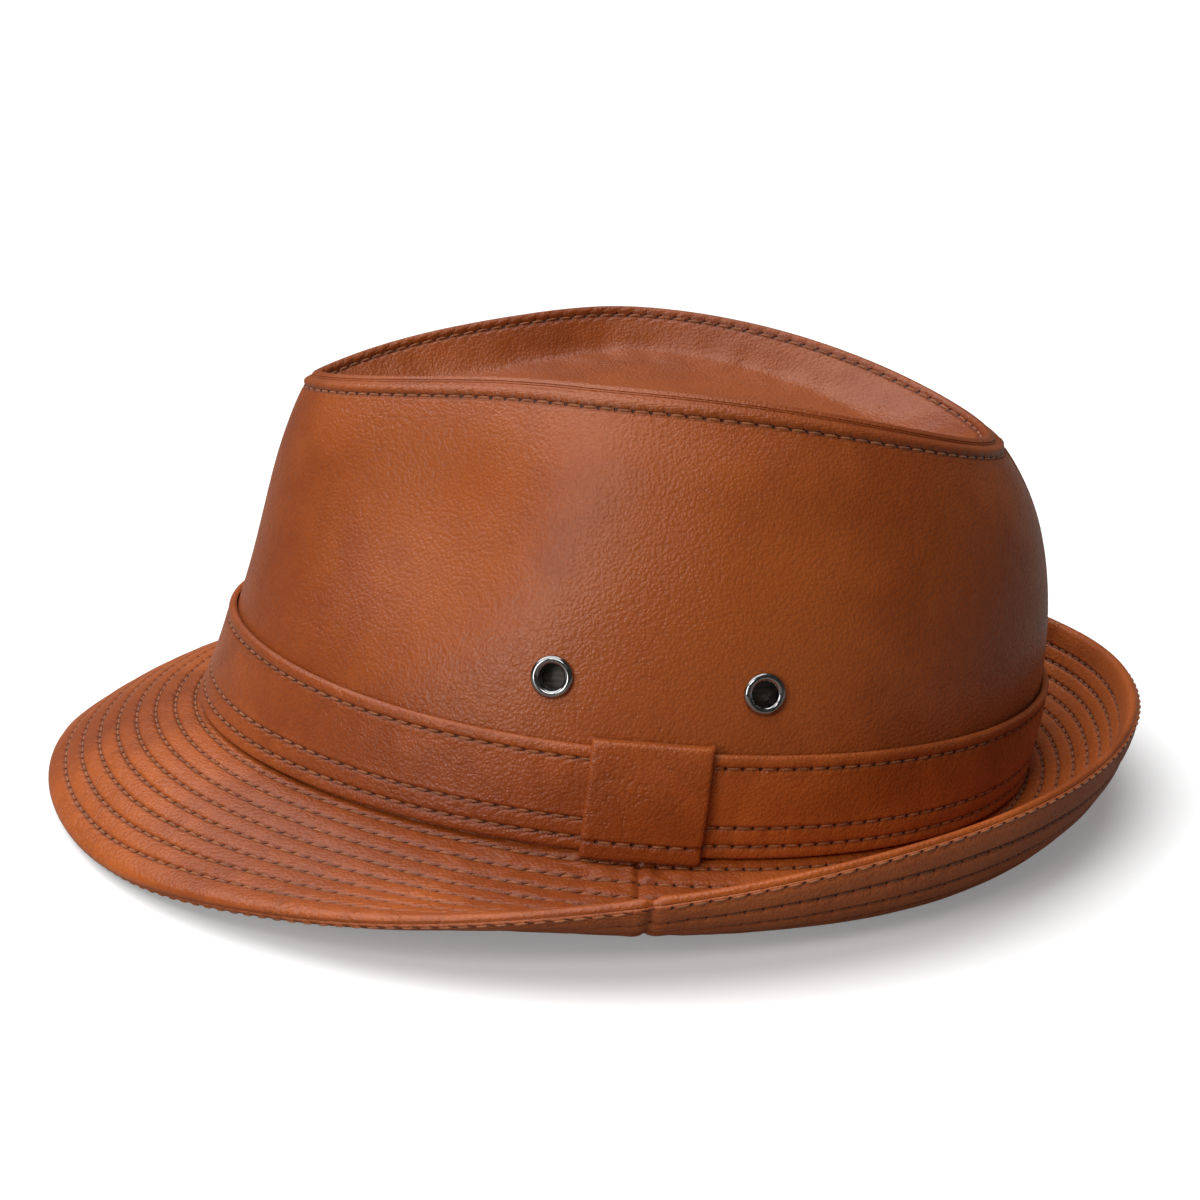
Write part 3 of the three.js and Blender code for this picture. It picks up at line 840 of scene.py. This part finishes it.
def hole_through(piece, centre, axis, radius):
    """Opens a round hole in the leather where an eyelet goes."""
    edit(piece, lambda: bpy.ops.mesh.select_all(action="DESELECT"))
    bpy.context.tool_settings.mesh_select_mode = (False, False, True)
    mesh = piece.data
    middle = Vector(centre)
    line = Vector(axis)
    for face in mesh.polygons:
        off = face.center - middle
        beside = (off - line * off.dot(line)).length < radius * 0.9
        face.select = beside and abs(off.dot(line)) < EYELET_REACH
    bpy.ops.object.mode_set(mode="EDIT")
    bpy.ops.mesh.delete(type="FACE")
    bpy.ops.object.mode_set(mode="OBJECT")
    bpy.context.tool_settings.mesh_select_mode = (True, False, False)
    for vertex in mesh.vertices:
        off = vertex.co - middle
        flat = off - line * off.dot(line)
        if flat.length < radius and abs(off.dot(line)) < EYELET_REACH:
            vertex.co += flat.normalized() * (radius - flat.length)


def eyelet_frame(angle):
    """Centre and outward axis of an eyelet, settled."""
    at = lambda a, z: settle(wall_at(np.array([a]), np.array([z]), 0.0))[0]
    along = at(angle + 1, EYELET_HEIGHT) - at(angle - 1, EYELET_HEIGHT)
    up = at(angle, EYELET_HEIGHT + 1) - at(angle, EYELET_HEIGHT - 1)
    axis = np.cross(along, up)
    return at(angle, EYELET_HEIGHT), axis / np.linalg.norm(axis)


def eyelet_angles():
    return {"left_front": EYELET_ANGLES[0], "left_rear": EYELET_ANGLES[1],
            "right_front": 360 - EYELET_ANGLES[0], "right_rear": 360 - EYELET_ANGLES[1]}


def crown_tip_surface(angle, inward):
    """A point of the tip at a distance inside the rim, square to it near the rim."""
    span = tip_span(angle)
    rest = np.maximum(inward - TIP_REST, 0.0) / 50.0
    q = np.minimum(inward, TIP_REST) / span
    q = np.where(inward > TIP_REST, TIP_REST / span + (1 - TIP_REST / span) * rest, q)
    p = tip(angle, np.minimum(q, 1.0), 0.0, TIP_INSET)
    p += oval_normal(angle) * (1.0 * (1 - smooth(inward / 2.2)))[..., None]
    p[..., 2] += 1.35 * bump(inward, 1.15, 1.05)
    return p


def crown_tip_relief(angle, inward, p):
    height = groove(np.abs(inward - TIP_STITCH), 0.4, 0.5)
    steep = smooth((inward - 3.5) / 3) * (1 - smooth((inward - 16) / 8))
    pucker = ripple(p, (0.14, 0.14, 0.03), 5.3)
    height += 0.45 * steep * pucker
    height += 0.3 * ripple(p, (0.03, 0.03, 0.03), 8.8) * smooth((inward - 4) / 8)
    return height * (1 - smooth((inward - 52) / 6))


def drawn_crown_tip():
    inward = stations(0.0, TIP_REST, 0.9, 1.4, TIP_STITCH)
    floor = np.arange(TIP_REST + 0.9, TIP_REST + 50.0, 0.95)
    inward = np.concatenate([inward, floor, [TIP_REST + 50.0]])
    return Drawn(crown_tip_surface, around(421), inward, crown_tip_relief, closed=True)


def back_seam_lines(drawn):
    """The two stitch rows beside the back seam, read across the drawn wall."""
    lines = []
    for side in (-1, 1):
        column = int(np.argmin(np.abs(drawn.us - side * (180.0 - 1.8))))
        rows = slice(drawn.row(66), drawn.row(5.5))
        turned = Drawn.__new__(Drawn)
        turned.points = drawn.points[column:column + 1, rows].transpose(1, 0, 2)
        turned.normals = drawn.normals[column:column + 1, rows].transpose(1, 0, 2)
        turned.count = running_length(turned.points) / stitch_pitch()
        lines.append((turned, 0, 0.2, 0.2))
    return lines


# ---------------------------------------------------------------- band


def band_relief(angle, z, amount=1.0):
    """Soft waves of the band, and tight puckers where it runs under the keeper."""
    left = bump(from_front(angle), 80.0, 6.5) * np.where((angle > 0) & (angle < 180), 1.0, 0.15)
    right = bump(from_front(angle), 106.0, 5.0) * np.where((angle > 0) & (angle < 180), 0.6, 0.15)
    p = points(angle * 1.6, z, 0.0)
    fine = ripple(p, (0.42, 0.11, 1.0), 2.2)
    broad = ripple(p, (0.035, 0.06, 1.0), 6.1)
    return amount * (0.3 * broad + 0.55 * fine * (left + right) + 0.07 * fine)


def band_profile():
    """The band's section: z and distance out from the crown, folded round at top and bottom."""
    r = (BAND_OUT - BAND_INNER) / 2
    low, high, middle = BAND_BOTTOM + r, BAND_TOP - r, BAND_INNER + r
    turns = np.radians((25, 55, 85, 115, 150))
    outer = [(z, BAND_OUT) for z in stations(low, high, 1.0, *BAND_ROWS)]
    fold = [(high + r * math.sin(a), middle + r * math.cos(a)) for a in turns]
    inner = [(z, BAND_INNER) for z in (high, 17.0, 9.0, low)]
    under = [(low - r * math.sin(a), middle + r * math.cos(a)) for a in turns[::-1]]
    return np.array(outer + fold + inner + under + outer[:1])


def lapped(profile, relief):
    """A place function for a strip whose rows follow a closed section."""

    def place(angle, row):
        k = np.rint(row).astype(int)
        z, out = profile[k, 0], profile[k, 1]
        outer = out > profile[:, 1].min() + 0.3
        return wall_at(angle, z, -(out + np.where(outer, relief(angle, z), 0.0)))

    return place


def drawn_band():
    profile = band_profile()
    half = 0.35

    def relief(angle, z):
        dips = sum(-0.4 * bump(z, row, 0.5) for row in BAND_ROWS)
        puff = 0.22 * bump(z, BAND_TOP - 1.2, 1.3) + 0.15 * bump(z, 6.1, 1.4) + 0.25 * bump(z, 2.0, 1.2)
        return band_relief(angle, z) * smooth((BAND_TOP + 3 - z) / 8) + dips + puff

    angles = np.linspace(BAND_JOINT + half, BAND_JOINT + 360 - half, 521)
    return Drawn(lapped(profile, relief), angles, np.arange(len(profile))), profile


def keeper_profile():
    top, lip = KEEPER_TOP, 1.4
    z_rows = stations(0.3, top - 0.7, 1.1, KEEPER_ROW)
    outer = [(z, KEEPER_OUT + 0.25 * math.sin(math.pi * z / top)) for z in z_rows]
    fold = [(top - 0.7 + 0.7 * math.sin(a), KEEPER_OUT - 0.7 + 0.7 * math.cos(a))
            for a in np.radians((30, 60, 90))]
    over = [(top, 2.0), (top - 0.1, 1.0), (top - 0.7, 0.35), (top - lip, 0.4), (top - lip, 1.5)]
    inner = [(top - lip - 0.5, 2.25), (12.0, 2.25), (0.3, 2.25)]
    foot = [(-0.1, 2.6), (-0.15, 3.1)]
    return np.array(outer + fold + over + inner + foot + outer[:1])


def drawn_keeper():
    profile = keeper_profile()
    middle, half = (KEEPER_START + KEEPER_END) / 2, (KEEPER_END - KEEPER_START) / 2

    def relief(angle, z):
        edge = (half - np.abs(angle - middle)) * math.radians(90.0)
        turned = -0.95 * (1 - np.sqrt(np.clip(1 - (1 - np.clip(edge, 0, 1)) ** 2, 0, 1)))
        p = points(angle * 1.6, z, 0.0)
        return turned - 0.42 * bump(z, KEEPER_ROW, 0.5) + 0.3 * ripple(p, (0.12, 0.07, 1.0), 4.4)

    side = np.array([0.0, 0.08, 0.2, 0.4, 0.65, 1.0, 1.4])
    inner = np.linspace(KEEPER_START + 1.8, KEEPER_END - 1.8, 28)
    angles = np.concatenate([KEEPER_START + side, inner, (KEEPER_END - side)[::-1]])
    return Drawn(lapped(profile, relief), angles, np.arange(len(profile))), profile


def strip_piece(name, drawn, profile, rows, node):
    """Closes a lapped strip along its length and at its two ends."""
    away = np.broadcast_to(nearest_row(profile[:, 0], rows), drawn.count.shape)
    inside = profile[:, 1] < profile[:, 1].max() - 1.2
    piece = draw_sheet(name, drawn, np.where(inside, FAR, away))
    close_doubles(piece)
    edit(
        piece,
        lambda: bpy.ops.mesh.fill_holes(sides=0),
        lambda: bpy.ops.mesh.normals_make_consistent(inside=False),
    )
    shade(piece)
    finish_piece(piece, "band_leather", band_leather(), node)


# ---------------------------------------------------------------- brim

BRIM_ROW_COUNT, BRIM_EDGE_ROW, BRIM_LAST_ROW = 8, 6.3, 2.2
NOSE = BRIM_THICKNESS / 2
BRIM_ROW_SPACING, BRIM_MEAN_RADIUS = 5.2, 110.0
OTHER_FACE = 9.0  # keeps a row of the other face from being taken as the nearest


def brim_stations():
    """Rows from crown to edge, in row numbers: 7 is beside the crown, 0 the outermost row."""
    rows = []
    for k in range(BRIM_ROW_COUNT):
        rows += [k + d for d in (-0.24, -0.15, -0.08, -0.035, 0.0, 0.035, 0.08, 0.15, 0.24)]
    rows += [k + d for k in range(BRIM_ROW_COUNT - 1) for d in (0.38, 0.5, 0.62)]
    rows += [-0.4, -0.6, -0.8, BRIM_ROW_COUNT - 1 + 0.36]
    return np.array(sorted(rows, reverse=True))


def row_distance(angle, row):
    """Millimetres in from the edge, for a row number."""
    width = brim_value(angle, BRIM_WIDTH)
    spacing = (width - BRIM_EDGE_ROW - BRIM_LAST_ROW) / (BRIM_ROW_COUNT - 1)
    return BRIM_EDGE_ROW + row * spacing


def nose_seam(angle):
    """How far round the edge the top leather reaches, in degrees."""
    return mix(100.0, 132.0, smooth((from_front(angle) - 70.0) / 40.0))


def brim_face(angle, row, turn, under):
    """A point of the brim: turn is 0 on the flat part and counts degrees round the edge after it."""
    width = brim_value(angle, BRIM_WIDTH)
    flat_end = 1.0 - NOSE / width
    s = np.where(turn > 0, flat_end, 1.0 - row_distance(angle, row) / width)
    s = np.clip(s, 0.0, flat_end)
    around = np.radians(np.where(under, 180.0 - turn, turn))
    s = np.where(turn > 0, flat_end + NOSE * np.sin(around) / width, s)
    depth = NOSE - NOSE * np.cos(around)
    return brim(angle, s, depth)


def brim_table():
    """Stations of one leather, crown to seam: row numbers, then shares of the way round the edge."""
    rows = brim_stations()
    share = np.array([0.1, 0.25, 0.4, 0.55, 0.68, 0.8, 0.9, 0.96, 1.0])
    first = [7.45] + list(rows)
    return np.array(first + [-1.2] * len(share)), np.concatenate([np.zeros(len(first)), share])


def drawn_brim(start, end, under):
    row_of, share_of = brim_table()
    keys = np.arange(len(row_of))

    def parts(angle, v):
        k = np.rint(v).astype(int)
        reach = nose_seam(angle)
        reach = np.where(under, 180.0 - reach - 5.0, reach)
        return row_of[k], share_of[k] * reach, share_of[k]

    def place(angle, v):
        row, turn, _ = parts(angle, v)
        return brim_face(angle, row, turn, under)

    def relief(angle, v, p):
        row, _, share = parts(angle, v)
        flat = np.where(share > 0, 0.0, 1.0)
        nearest = np.clip(np.rint(row), 0, BRIM_ROW_COUNT - 1)
        off = (row - nearest) * BRIM_ROW_SPACING
        height = -0.5 * np.exp(-((off / 0.55) ** 2)) + 0.2 * (1 - np.exp(-((off / 1.5) ** 2)))
        height *= flat
        height -= 0.34 * bump(share, 1.0, 0.16)
        seam = np.abs(from_front(angle) - BRIM_SEAM) * math.radians(BRIM_MEAN_RADIUS)
        height -= 0.55 * np.exp(-((seam / 0.8) ** 2))
        height += 0.2 * bump(seam, 2.2, 1.5)
        crush = bump(from_front(angle), 88.0, 17.0) * np.where(under, 0.35, 1.0)
        stretch = points(np.radians(angle) * 115.0, row * BRIM_ROW_SPACING, 0.0)
        lines = ripple(stretch, (0.2, 0.33, 1.0), 7.7)
        fine = ripple(stretch, (0.5, 0.8, 1.0), 1.7)
        broad = ripple(p, (0.022, 0.022, 0.022), 5.5)
        puffs = ripple(stretch, (0.11, 0.2, 1.0), 12.4)
        height += flat * (0.5 * crush * lines + 0.22 * crush * fine + 0.09 * puffs)
        return height + 0.35 * broad

    count = int((end - start) / BRIM_ANGLE_STEP)
    start, end = start + BRIM_END_TRIM, end - BRIM_END_TRIM
    near = np.array([0.2, 0.45, 0.8, 1.3])
    angles = np.unique(np.concatenate([np.linspace(start, end, count), start + near, end - near]))
    drawn = Drawn(place, angles, keys, relief, flip=not under)
    drawn.rows, drawn.shares = row_of, share_of
    return drawn


def brim_sewing(drawn, under):
    row, share = drawn.rows, drawn.shares
    nearest = np.clip(np.rint(row), 0, BRIM_ROW_COUNT - 1)
    away = np.where(share > 0, FAR, np.abs(row - nearest) * BRIM_ROW_SPACING)
    if under:
        away = np.where(share > 0, (1.0 - share) * 2.2 - 0.9, away)
    return np.broadcast_to(np.minimum(np.abs(away), FAR), drawn.count.shape)


def brim_piece(name, start, end, under, slot, material):
    drawn = drawn_brim(start, end, under)
    piece = draw_sheet(f"{name}_leather", drawn, brim_sewing(drawn, under))
    thicken(piece, BRIM_LEATHER_THICKNESS)
    shade(piece)
    finish_piece(piece, slot, material, name)
    return piece, drawn


# ---------------------------------------------------------------- inside


def lining_waves(angle, h, p):
    """Loose waves, and pleats that deepen towards the top."""
    pleats = np.sin(np.radians(angle) * 46) * smooth((h - 0.25) / 0.6)
    return 0.35 * (0.5 * ripple(p, (0.07, 0.07, 0.02), 14.2) + 0.35 * pleats)


# ---------------------------------------------------------------- settings


class TrilbySettings(bpy.types.PropertyGroup):
    leather_light: FloatVectorProperty(
        name="Leather", description="Dye colour of the leather where it is lightest",
        subtype="COLOR", size=3, min=0, max=1, default=(0.34, 0.077, 0.0125))
    leather_dark: FloatVectorProperty(
        name="Leather, dark", description="Dye colour in the darker clouds",
        subtype="COLOR", size=3, min=0, max=1, default=(0.225, 0.042, 0.0055))
    thread_colour: FloatVectorProperty(
        name="Thread", description="Colour of the sewing thread",
        subtype="COLOR", size=3, min=0, max=1, default=(0.34, 0.098, 0.02))
    lining_colour: FloatVectorProperty(
        name="Lining", description="Colour of the satin lining",
        subtype="COLOR", size=3, min=0, max=1, default=(0.045, 0.03, 0.022))
    ribbon_colour: FloatVectorProperty(
        name="Sweatband", description="Colour of the ribbed sweatband",
        subtype="COLOR", size=3, min=0, max=1, default=(0.07, 0.04, 0.026))
    metal_colour: FloatVectorProperty(
        name="Eyelets", description="Colour of the eyelets' plating",
        subtype="COLOR", size=3, min=0, max=1, default=(0.34, 0.33, 0.33))
    stitch_length: FloatProperty(
        name="Stitch length", description="From one needle hole to the next",
        unit="LENGTH", subtype="DISTANCE", min=0.002, max=0.008, default=0.004)
    eyelet_segments: IntProperty(
        name="Eyelet segments", description="Facets round each eyelet", min=12, max=96, default=56)


# ---------------------------------------------------------------- operators


class TRILBY_OT_stage(bpy.types.Operator):
    """Adds the floor, the soft lights and the camera"""

    bl_idname = "trilby.stage"
    bl_label = "Stage"

    def execute(self, context):
        clear_selection()
        bpy.ops.mesh.primitive_circle_add(
            vertices=96, radius=6.0, fill_type="NGON", location=(0, 0, -0.0004))
        floor = context.object
        floor.name = floor.data.name = "floor"
        floor.data.materials.append(self.paper())
        self.lights(context)
        self.camera(context)
        return {"FINISHED"}

    def paper(self):
        """Pale paper that throws little light back up."""
        material, n, shader, place = start_material("paper floor")
        tone = n.noise(place, 3.0, 2.0)
        seen = material.node_tree.nodes.new("ShaderNodeLightPath").outputs["Is Camera Ray"]
        pale = n.blend(tone, (0.9, 0.9, 0.9, 1), (0.94, 0.94, 0.94, 1))
        n.put(shader.inputs["Base Color"], n.blend(seen, (0.24, 0.22, 0.2, 1), pale))
        n.put(shader.inputs["Roughness"], n.ramp(tone, 0.2, 0.8, 0.75, 0.85))
        shader.inputs["Emission Color"].default_value = (1.0, 1.0, 1.0, 1.0)
        n.put(shader.inputs["Emission Strength"], n.math("MULTIPLY", seen, 0.22))
        return material

    def lights(self, context):
        world = bpy.data.worlds.new("studio")
        context.scene.world = world
        world.use_nodes = True
        n = Nodes(world.node_tree)
        shader = next(node for node in world.node_tree.nodes if node.type == "BACKGROUND")
        seen = world.node_tree.nodes.new("ShaderNodeLightPath").outputs["Is Camera Ray"]
        shader.inputs["Color"].default_value = (1.0, 1.0, 1.0, 1.0)
        n.put(shader.inputs["Strength"], n.ramp(seen, 0.0, 1.0, 0.06, 1.05))
        clear_selection()
        bpy.ops.object.light_add(type="SUN", location=(0.2, -0.3, 1.6))
        sun = context.object
        sun.name = "overhead"
        sun.data.energy = 3.1
        sun.data.angle = math.radians(75)
        sun.rotation_euler = Vector((-0.12, -0.36, 1.0)).to_track_quat("Z", "Y").to_euler()
        self.softbox("front softbox", Vector((0.84, -0.66, 0.34)) * 1.2, 6.0, (0.34, 0.6))
        self.softbox("upper softbox", Vector((0.8, -0.2, 0.66)) * 1.1, 2.6, (0.5, 0.22))

    def softbox(self, name, place, energy, size):
        bpy.ops.object.light_add(type="AREA", location=place)
        box = bpy.context.object
        box.name = name
        box.data.energy = energy
        box.data.shape = "RECTANGLE"
        box.data.size, box.data.size_y = size
        box.rotation_euler = (place - Vector((0, 0, 0.05))).to_track_quat("Z", "Y").to_euler()

    def camera(self, context):
        elevation, yaw = math.radians(CAMERA_ELEVATION), math.radians(CAMERA_YAW)
        level = math.cos(elevation)
        towards = Vector((level * math.cos(yaw), level * math.sin(yaw), math.sin(elevation)))
        target = Vector((0.0, ORIGIN[1], CAMERA_TARGET_HEIGHT + ORIGIN[2]))
        bpy.ops.object.camera_add(location=target + towards * CAMERA_DISTANCE)
        camera = context.object
        roll = Matrix.Rotation(math.radians(CAMERA_ROLL), 3, "Z")
        camera.rotation_euler = (towards.to_track_quat("Z", "Y").to_matrix() @ roll).to_euler()
        camera.data.lens = CAMERA_LENS
        camera.data.sensor_width = CAMERA_SENSOR
        camera.data.shift_x, camera.data.shift_y = CAMERA_SHIFT
        camera.data.clip_start = 0.01
        context.scene.camera = camera
        context.scene.view_settings.view_transform = "Standard"


class TRILBY_OT_crown(bpy.types.Operator):
    """Sews the crown: the wall with its back seam, the sunken tip and the welted rim"""

    bl_idname = "trilby.crown"
    bl_label = "Crown"

    def execute(self, context):
        side = drawn_crown_wall()
        below = np.broadcast_to(side.vs, side.count.shape)
        piece = draw_sheet("crown_side_leather", side, nearest_row(below, (WALL_STITCH,)))
        close_doubles(piece)
        for angle in eyelet_angles().values():
            hole_through(piece, *eyelet_frame(angle), EYELET_HOLE)
        thicken(piece, CROWN_THICKNESS)
        shade(piece, 60)
        finish_piece(piece, "crown_leather", crown_leather(), "crown_side")

        top = drawn_crown_tip()
        inward = np.broadcast_to(top.vs, top.count.shape)
        piece = draw_sheet("crown_tip_leather", top, nearest_row(inward, (TIP_STITCH,)))
        close_doubles(piece)
        thicken(piece, CROWN_THICKNESS)
        shade(piece, 60)
        finish_piece(piece, "crown_leather", crown_leather(), "crown_tip")

        lines = [(side, side.row(WALL_STITCH), 0, 0), (top, top.row(TIP_STITCH), 0, 0)]
        lines += back_seam_lines(side)
        stitch_lines("crown_stitching", lines, "crown_leather", thread())
        return {"FINISHED"}


class TRILBY_OT_band(bpy.types.Operator):
    """Folds and sews the hatband and laps the keeper over its joint"""

    bl_idname = "trilby.band"
    bl_label = "Hatband and keeper"

    def execute(self, context):
        band, profile = drawn_band()
        strip_piece("hatband_leather", band, profile, BAND_ROWS, "hatband")
        lines = [(band, self.row(profile, z), 1.2, 1.2) for z in BAND_ROWS]
        stitch_lines("band_stitching", lines, "band_leather", thread())

        keeper, profile = drawn_keeper()
        rows = (KEEPER_ROW,)
        strip_piece("band_keeper_leather", keeper, profile, rows, "band_keeper")
        lines = [(keeper, self.row(profile, KEEPER_ROW), 0.3, 0.3)]
        stitch_lines("keeper_stitching", lines, "band_leather", thread())
        return {"FINISHED"}

    def row(self, profile, z):
        outer = profile[:, 1] > profile[:, 1].max() - 0.5
        return int(np.argmin(np.abs(profile[:, 0] - z) + np.where(outer, 0.0, OTHER_FACE)))


class TRILBY_OT_brim(bpy.types.Operator):
    """Lays up the brim: top and under leathers, their rows of stitching and the sewn edge"""

    bl_idname = "trilby.brim"
    bl_label = "Brim"

    def execute(self, context):
        front, rear = BRIM_SEAM + BRIM_SEAM_PRESS, BRIM_SEAM - BRIM_SEAM_PRESS
        halves = {"front": (-front, front), "rear": (rear, 360 - rear)}
        faces = {
            "top": ("brim_leather", brim_leather()),
            "under": ("under_leather", under_leather()),
        }
        edge_lines = []
        for face, (slot, material) in faces.items():
            lines = []
            for half, (start, end) in halves.items():
                under = face == "under"
                piece, drawn = brim_piece(f"brim_{face}_{half}", start, end, under, slot, material)
                for row in range(BRIM_ROW_COUNT):
                    j = int(np.argmin(np.abs(drawn.rows - row) + drawn.shares * OTHER_FACE))
                    lines.append((drawn, j, 0.4, 0.4))
                if under:
                    j = int(np.argmin(np.abs(drawn.shares - 0.55)))
                    edge_lines.append((drawn, j, 0.4, 0.4))
            sewn = bobbin_thread() if under else thread()
            stitch_lines(f"brim_stitching_{face}", lines, slot, sewn)
        stitch_lines("brim_edge_stitching", edge_lines, "under_leather", thread(), width=0.5)
        cover("brim_stiffener", interlining())
        return {"FINISHED"}


class TRILBY_OT_eyelets(bpy.types.Operator):
    """Turns the four vent eyelets and sets them in the crown"""

    bl_idname = "trilby.eyelets"
    bl_label = "Eyelets"

    def execute(self, context):
        metal = metal_material("gunmetal plating", context.scene.trilby.metal_colour)
        for name, angle in eyelet_angles().items():
            piece = self.turned(context, f"eyelet_{name}_ring", angle)
            finish_piece(piece, "eyelet_metal", metal, f"eyelet_{name}")
            cover(f"eyelet_washer_{name}", metal)
        return {"FINISHED"}

    def section(self):
        """Rolled flange and barrel, as radius and height over the crown."""
        face, crest = 0.45, 1.35
        roll = [(3.85 + math.cos(a), face + (crest - face) * math.sin(a))
                for a in np.linspace(0, math.pi, 10)]
        throat = [(2.8, 0.1), (2.75, -1.6), (2.8, -3.3), (3.15, -3.3), (3.2, 0.0), (3.3, face)]
        return roll + throat

    def turned(self, context, name, angle):
        section = self.section()
        clear_selection()
        segments = context.scene.trilby.eyelet_segments
        bpy.ops.mesh.primitive_torus_add(major_segments=segments, minor_segments=len(section),
                                         major_radius=TORUS_RADIUS, minor_radius=1.0)
        piece = context.object
        piece.name = piece.data.name = name
        centre, axis = eyelet_frame(angle)
        turn = Vector(axis).to_track_quat("Z", "Y")
        for vertex in piece.data.vertices:
            x, y, z = vertex.co
            ring = math.atan2(z, math.hypot(x, y) - TORUS_RADIUS) % math.tau
            radius, height = section[round(ring / math.tau * len(section)) % len(section)]
            around = math.atan2(y, x)
            spot = Vector((radius * math.cos(around), radius * math.sin(around), height)) * MM
            vertex.co = Vector(centre) + turn @ spot
        edit(piece, lambda: bpy.ops.mesh.normals_make_consistent(inside=False))
        apply_modifier(piece, "SUBSURF", levels=1, render_levels=1)
        shade(piece, 70)
        return piece


class TRILBY_OT_inside(bpy.types.Operator):
    """Fits the lining and the sweatband, and finishes the layers that the leather hides"""

    bl_idname = "trilby.inside"
    bl_label = "Lining and sweatband"

    def execute(self, context):
        s = context.scene.trilby
        dark = tinted(s.lining_colour, 0.72)
        satin = woven_material(
            "satin lining", s.lining_colour, dark, 1900, 5200, 0.38, bump=0.00003)
        dark = tinted(s.ribbon_colour, 0.45)
        ribbon = woven_material(
            "ribbed sweatband", s.ribbon_colour, dark, 1500, 6200, 0.62, bump=0.0002)
        self.lining_side(satin)
        self.lining_tip(satin)
        self.sweatband(ribbon)
        self.tape(ribbon)
        for name in ("crown_side_interlining", "crown_tip_interlining"):
            cover(name, interlining())
        return {"FINISHED"}

    def lining_side(self, satin):
        rows = np.linspace(0.0, LINING_TOP, 44)
        place = lambda a, h: wall(a, h, LINING_DEPTH)
        drawn = Drawn(place, around(), rows, lining_waves, closed=True)
        piece = draw_sheet("lining_side_satin", drawn, unsewn(drawn))
        close_doubles(piece)
        thicken(piece, LINING_THICKNESS)
        shade(piece)
        finish_piece(piece, "lining_fabric", satin, "lining_side")

    def lining_tip(self, satin):
        q = np.concatenate([[0.012, 0.02, 0.03, 0.045], np.arange(0.06, 1.0, 0.022), [1.0]])
        place = lambda a, v: tip(a, v, TIP_LINING_DEPTH, TIP_INSET)
        drawn = Drawn(place, around(241), q, closed=True)
        piece = draw_sheet("lining_tip_satin", drawn, unsewn(drawn))
        close_doubles(piece)
        thicken(piece, TIP_LINING_THICKNESS)
        shade(piece)
        finish_piece(piece, "lining_fabric", satin, "lining_tip")

    def sweatband(self, ribbon):
        low, high = SWEATBAND_ROWS
        z = stations(WALL_FOOT + 0.3, SWEATBAND_TOP, 1.2, low, high)

        def relief(angle, h, p):
            sewn = groove(np.abs(p[..., 2] - low), 0.3, 0.5)
            return 0.35 * ripple(p, (0.03, 0.03, 0.05), 21.0) + sewn

        place = lambda a, v: wall_at(a, v, SWEATBAND_DEPTH)
        drawn = Drawn(place, around(), z, relief, closed=True)
        piece = draw_sheet("sweatband_ribbon", drawn, unsewn(drawn))
        close_doubles(piece)
        thicken(piece, SWEATBAND_THICKNESS)
        shade(piece)
        finish_piece(piece, "sweatband_fabric", ribbon, "sweatband")
        face = lambda a, v: wall_at(a, v, SWEATBAND_DEPTH + SWEATBAND_THICKNESS + 0.05)
        inner = Drawn(face, around()[::-1], z, closed=True)
        lines = [(inner, inner.row(row), 0, 0) for row in SWEATBAND_ROWS]
        brown = thread_material("brown thread", (0.1, 0.045, 0.02))
        stitch_lines("sweatband_stitching", lines, "sweatband_fabric", brown)

    def tape(self, ribbon):
        """The fold that joins the sweatband to the foot of the crown."""
        section = [(-1.4, -1.6), (-1.0, -1.6), (-0.3, -2.0), (-0.3, -3.6), (-1.0, -4.0), (-2.0, -4.0)]
        for out, low, high in ((-3.3, 200, 270), (-2.3, 270, 340)):
            for a in np.radians(np.linspace(low, high, 5)):
                section.append((-2.1 + 0.7 * math.sin(a), out + 0.7 * math.cos(a)))
        profile = np.array([*section, section[0]])

        def place(angle, row):
            z, out = profile[np.rint(row).astype(int)].transpose(2, 0, 1)
            return wall_at(angle, z, -out)

        drawn = Drawn(place, around(), np.arange(len(profile)), closed=True)
        piece = draw_sheet("sweatband_fold", drawn, unsewn(drawn))
        close_doubles(piece)
        edit(piece, lambda: bpy.ops.mesh.normals_make_consistent(inside=False))
        shade(piece)
        finish_piece(piece, "sweatband_fabric", ribbon, "sweatband_tape")


class TRILBY_PT_panel(bpy.types.Panel):
    bl_idname = "TRILBY_PT_panel"
    bl_label = "Leather Trilby"
    bl_space_type = "VIEW_3D"
    bl_region_type = "UI"
    bl_category = "Trilby"

    def draw(self, context):
        for name in TrilbySettings.__annotations__:
            self.layout.prop(context.scene.trilby, name)
        for operator in OPERATORS:
            self.layout.operator(operator.bl_idname)


OPERATORS = (
    TRILBY_OT_stage, TRILBY_OT_crown, TRILBY_OT_band,
    TRILBY_OT_brim, TRILBY_OT_eyelets, TRILBY_OT_inside,
)


def register():
    for kind in (TrilbySettings, *OPERATORS, TRILBY_PT_panel):
        bpy.utils.register_class(kind)
    bpy.types.Scene.trilby = PointerProperty(type=TrilbySettings)


def unregister():
    del bpy.types.Scene.trilby
    for kind in reversed((TrilbySettings, *OPERATORS, TRILBY_PT_panel)):
        bpy.utils.unregister_class(kind)


def main():
    register()
    bpy.ops.trilby.stage()
    bpy.ops.trilby.crown()
    bpy.ops.trilby.band()
    bpy.ops.trilby.brim()
    bpy.ops.trilby.eyelets()
    bpy.ops.trilby.inside()


if __name__ == "__main__":
    main()
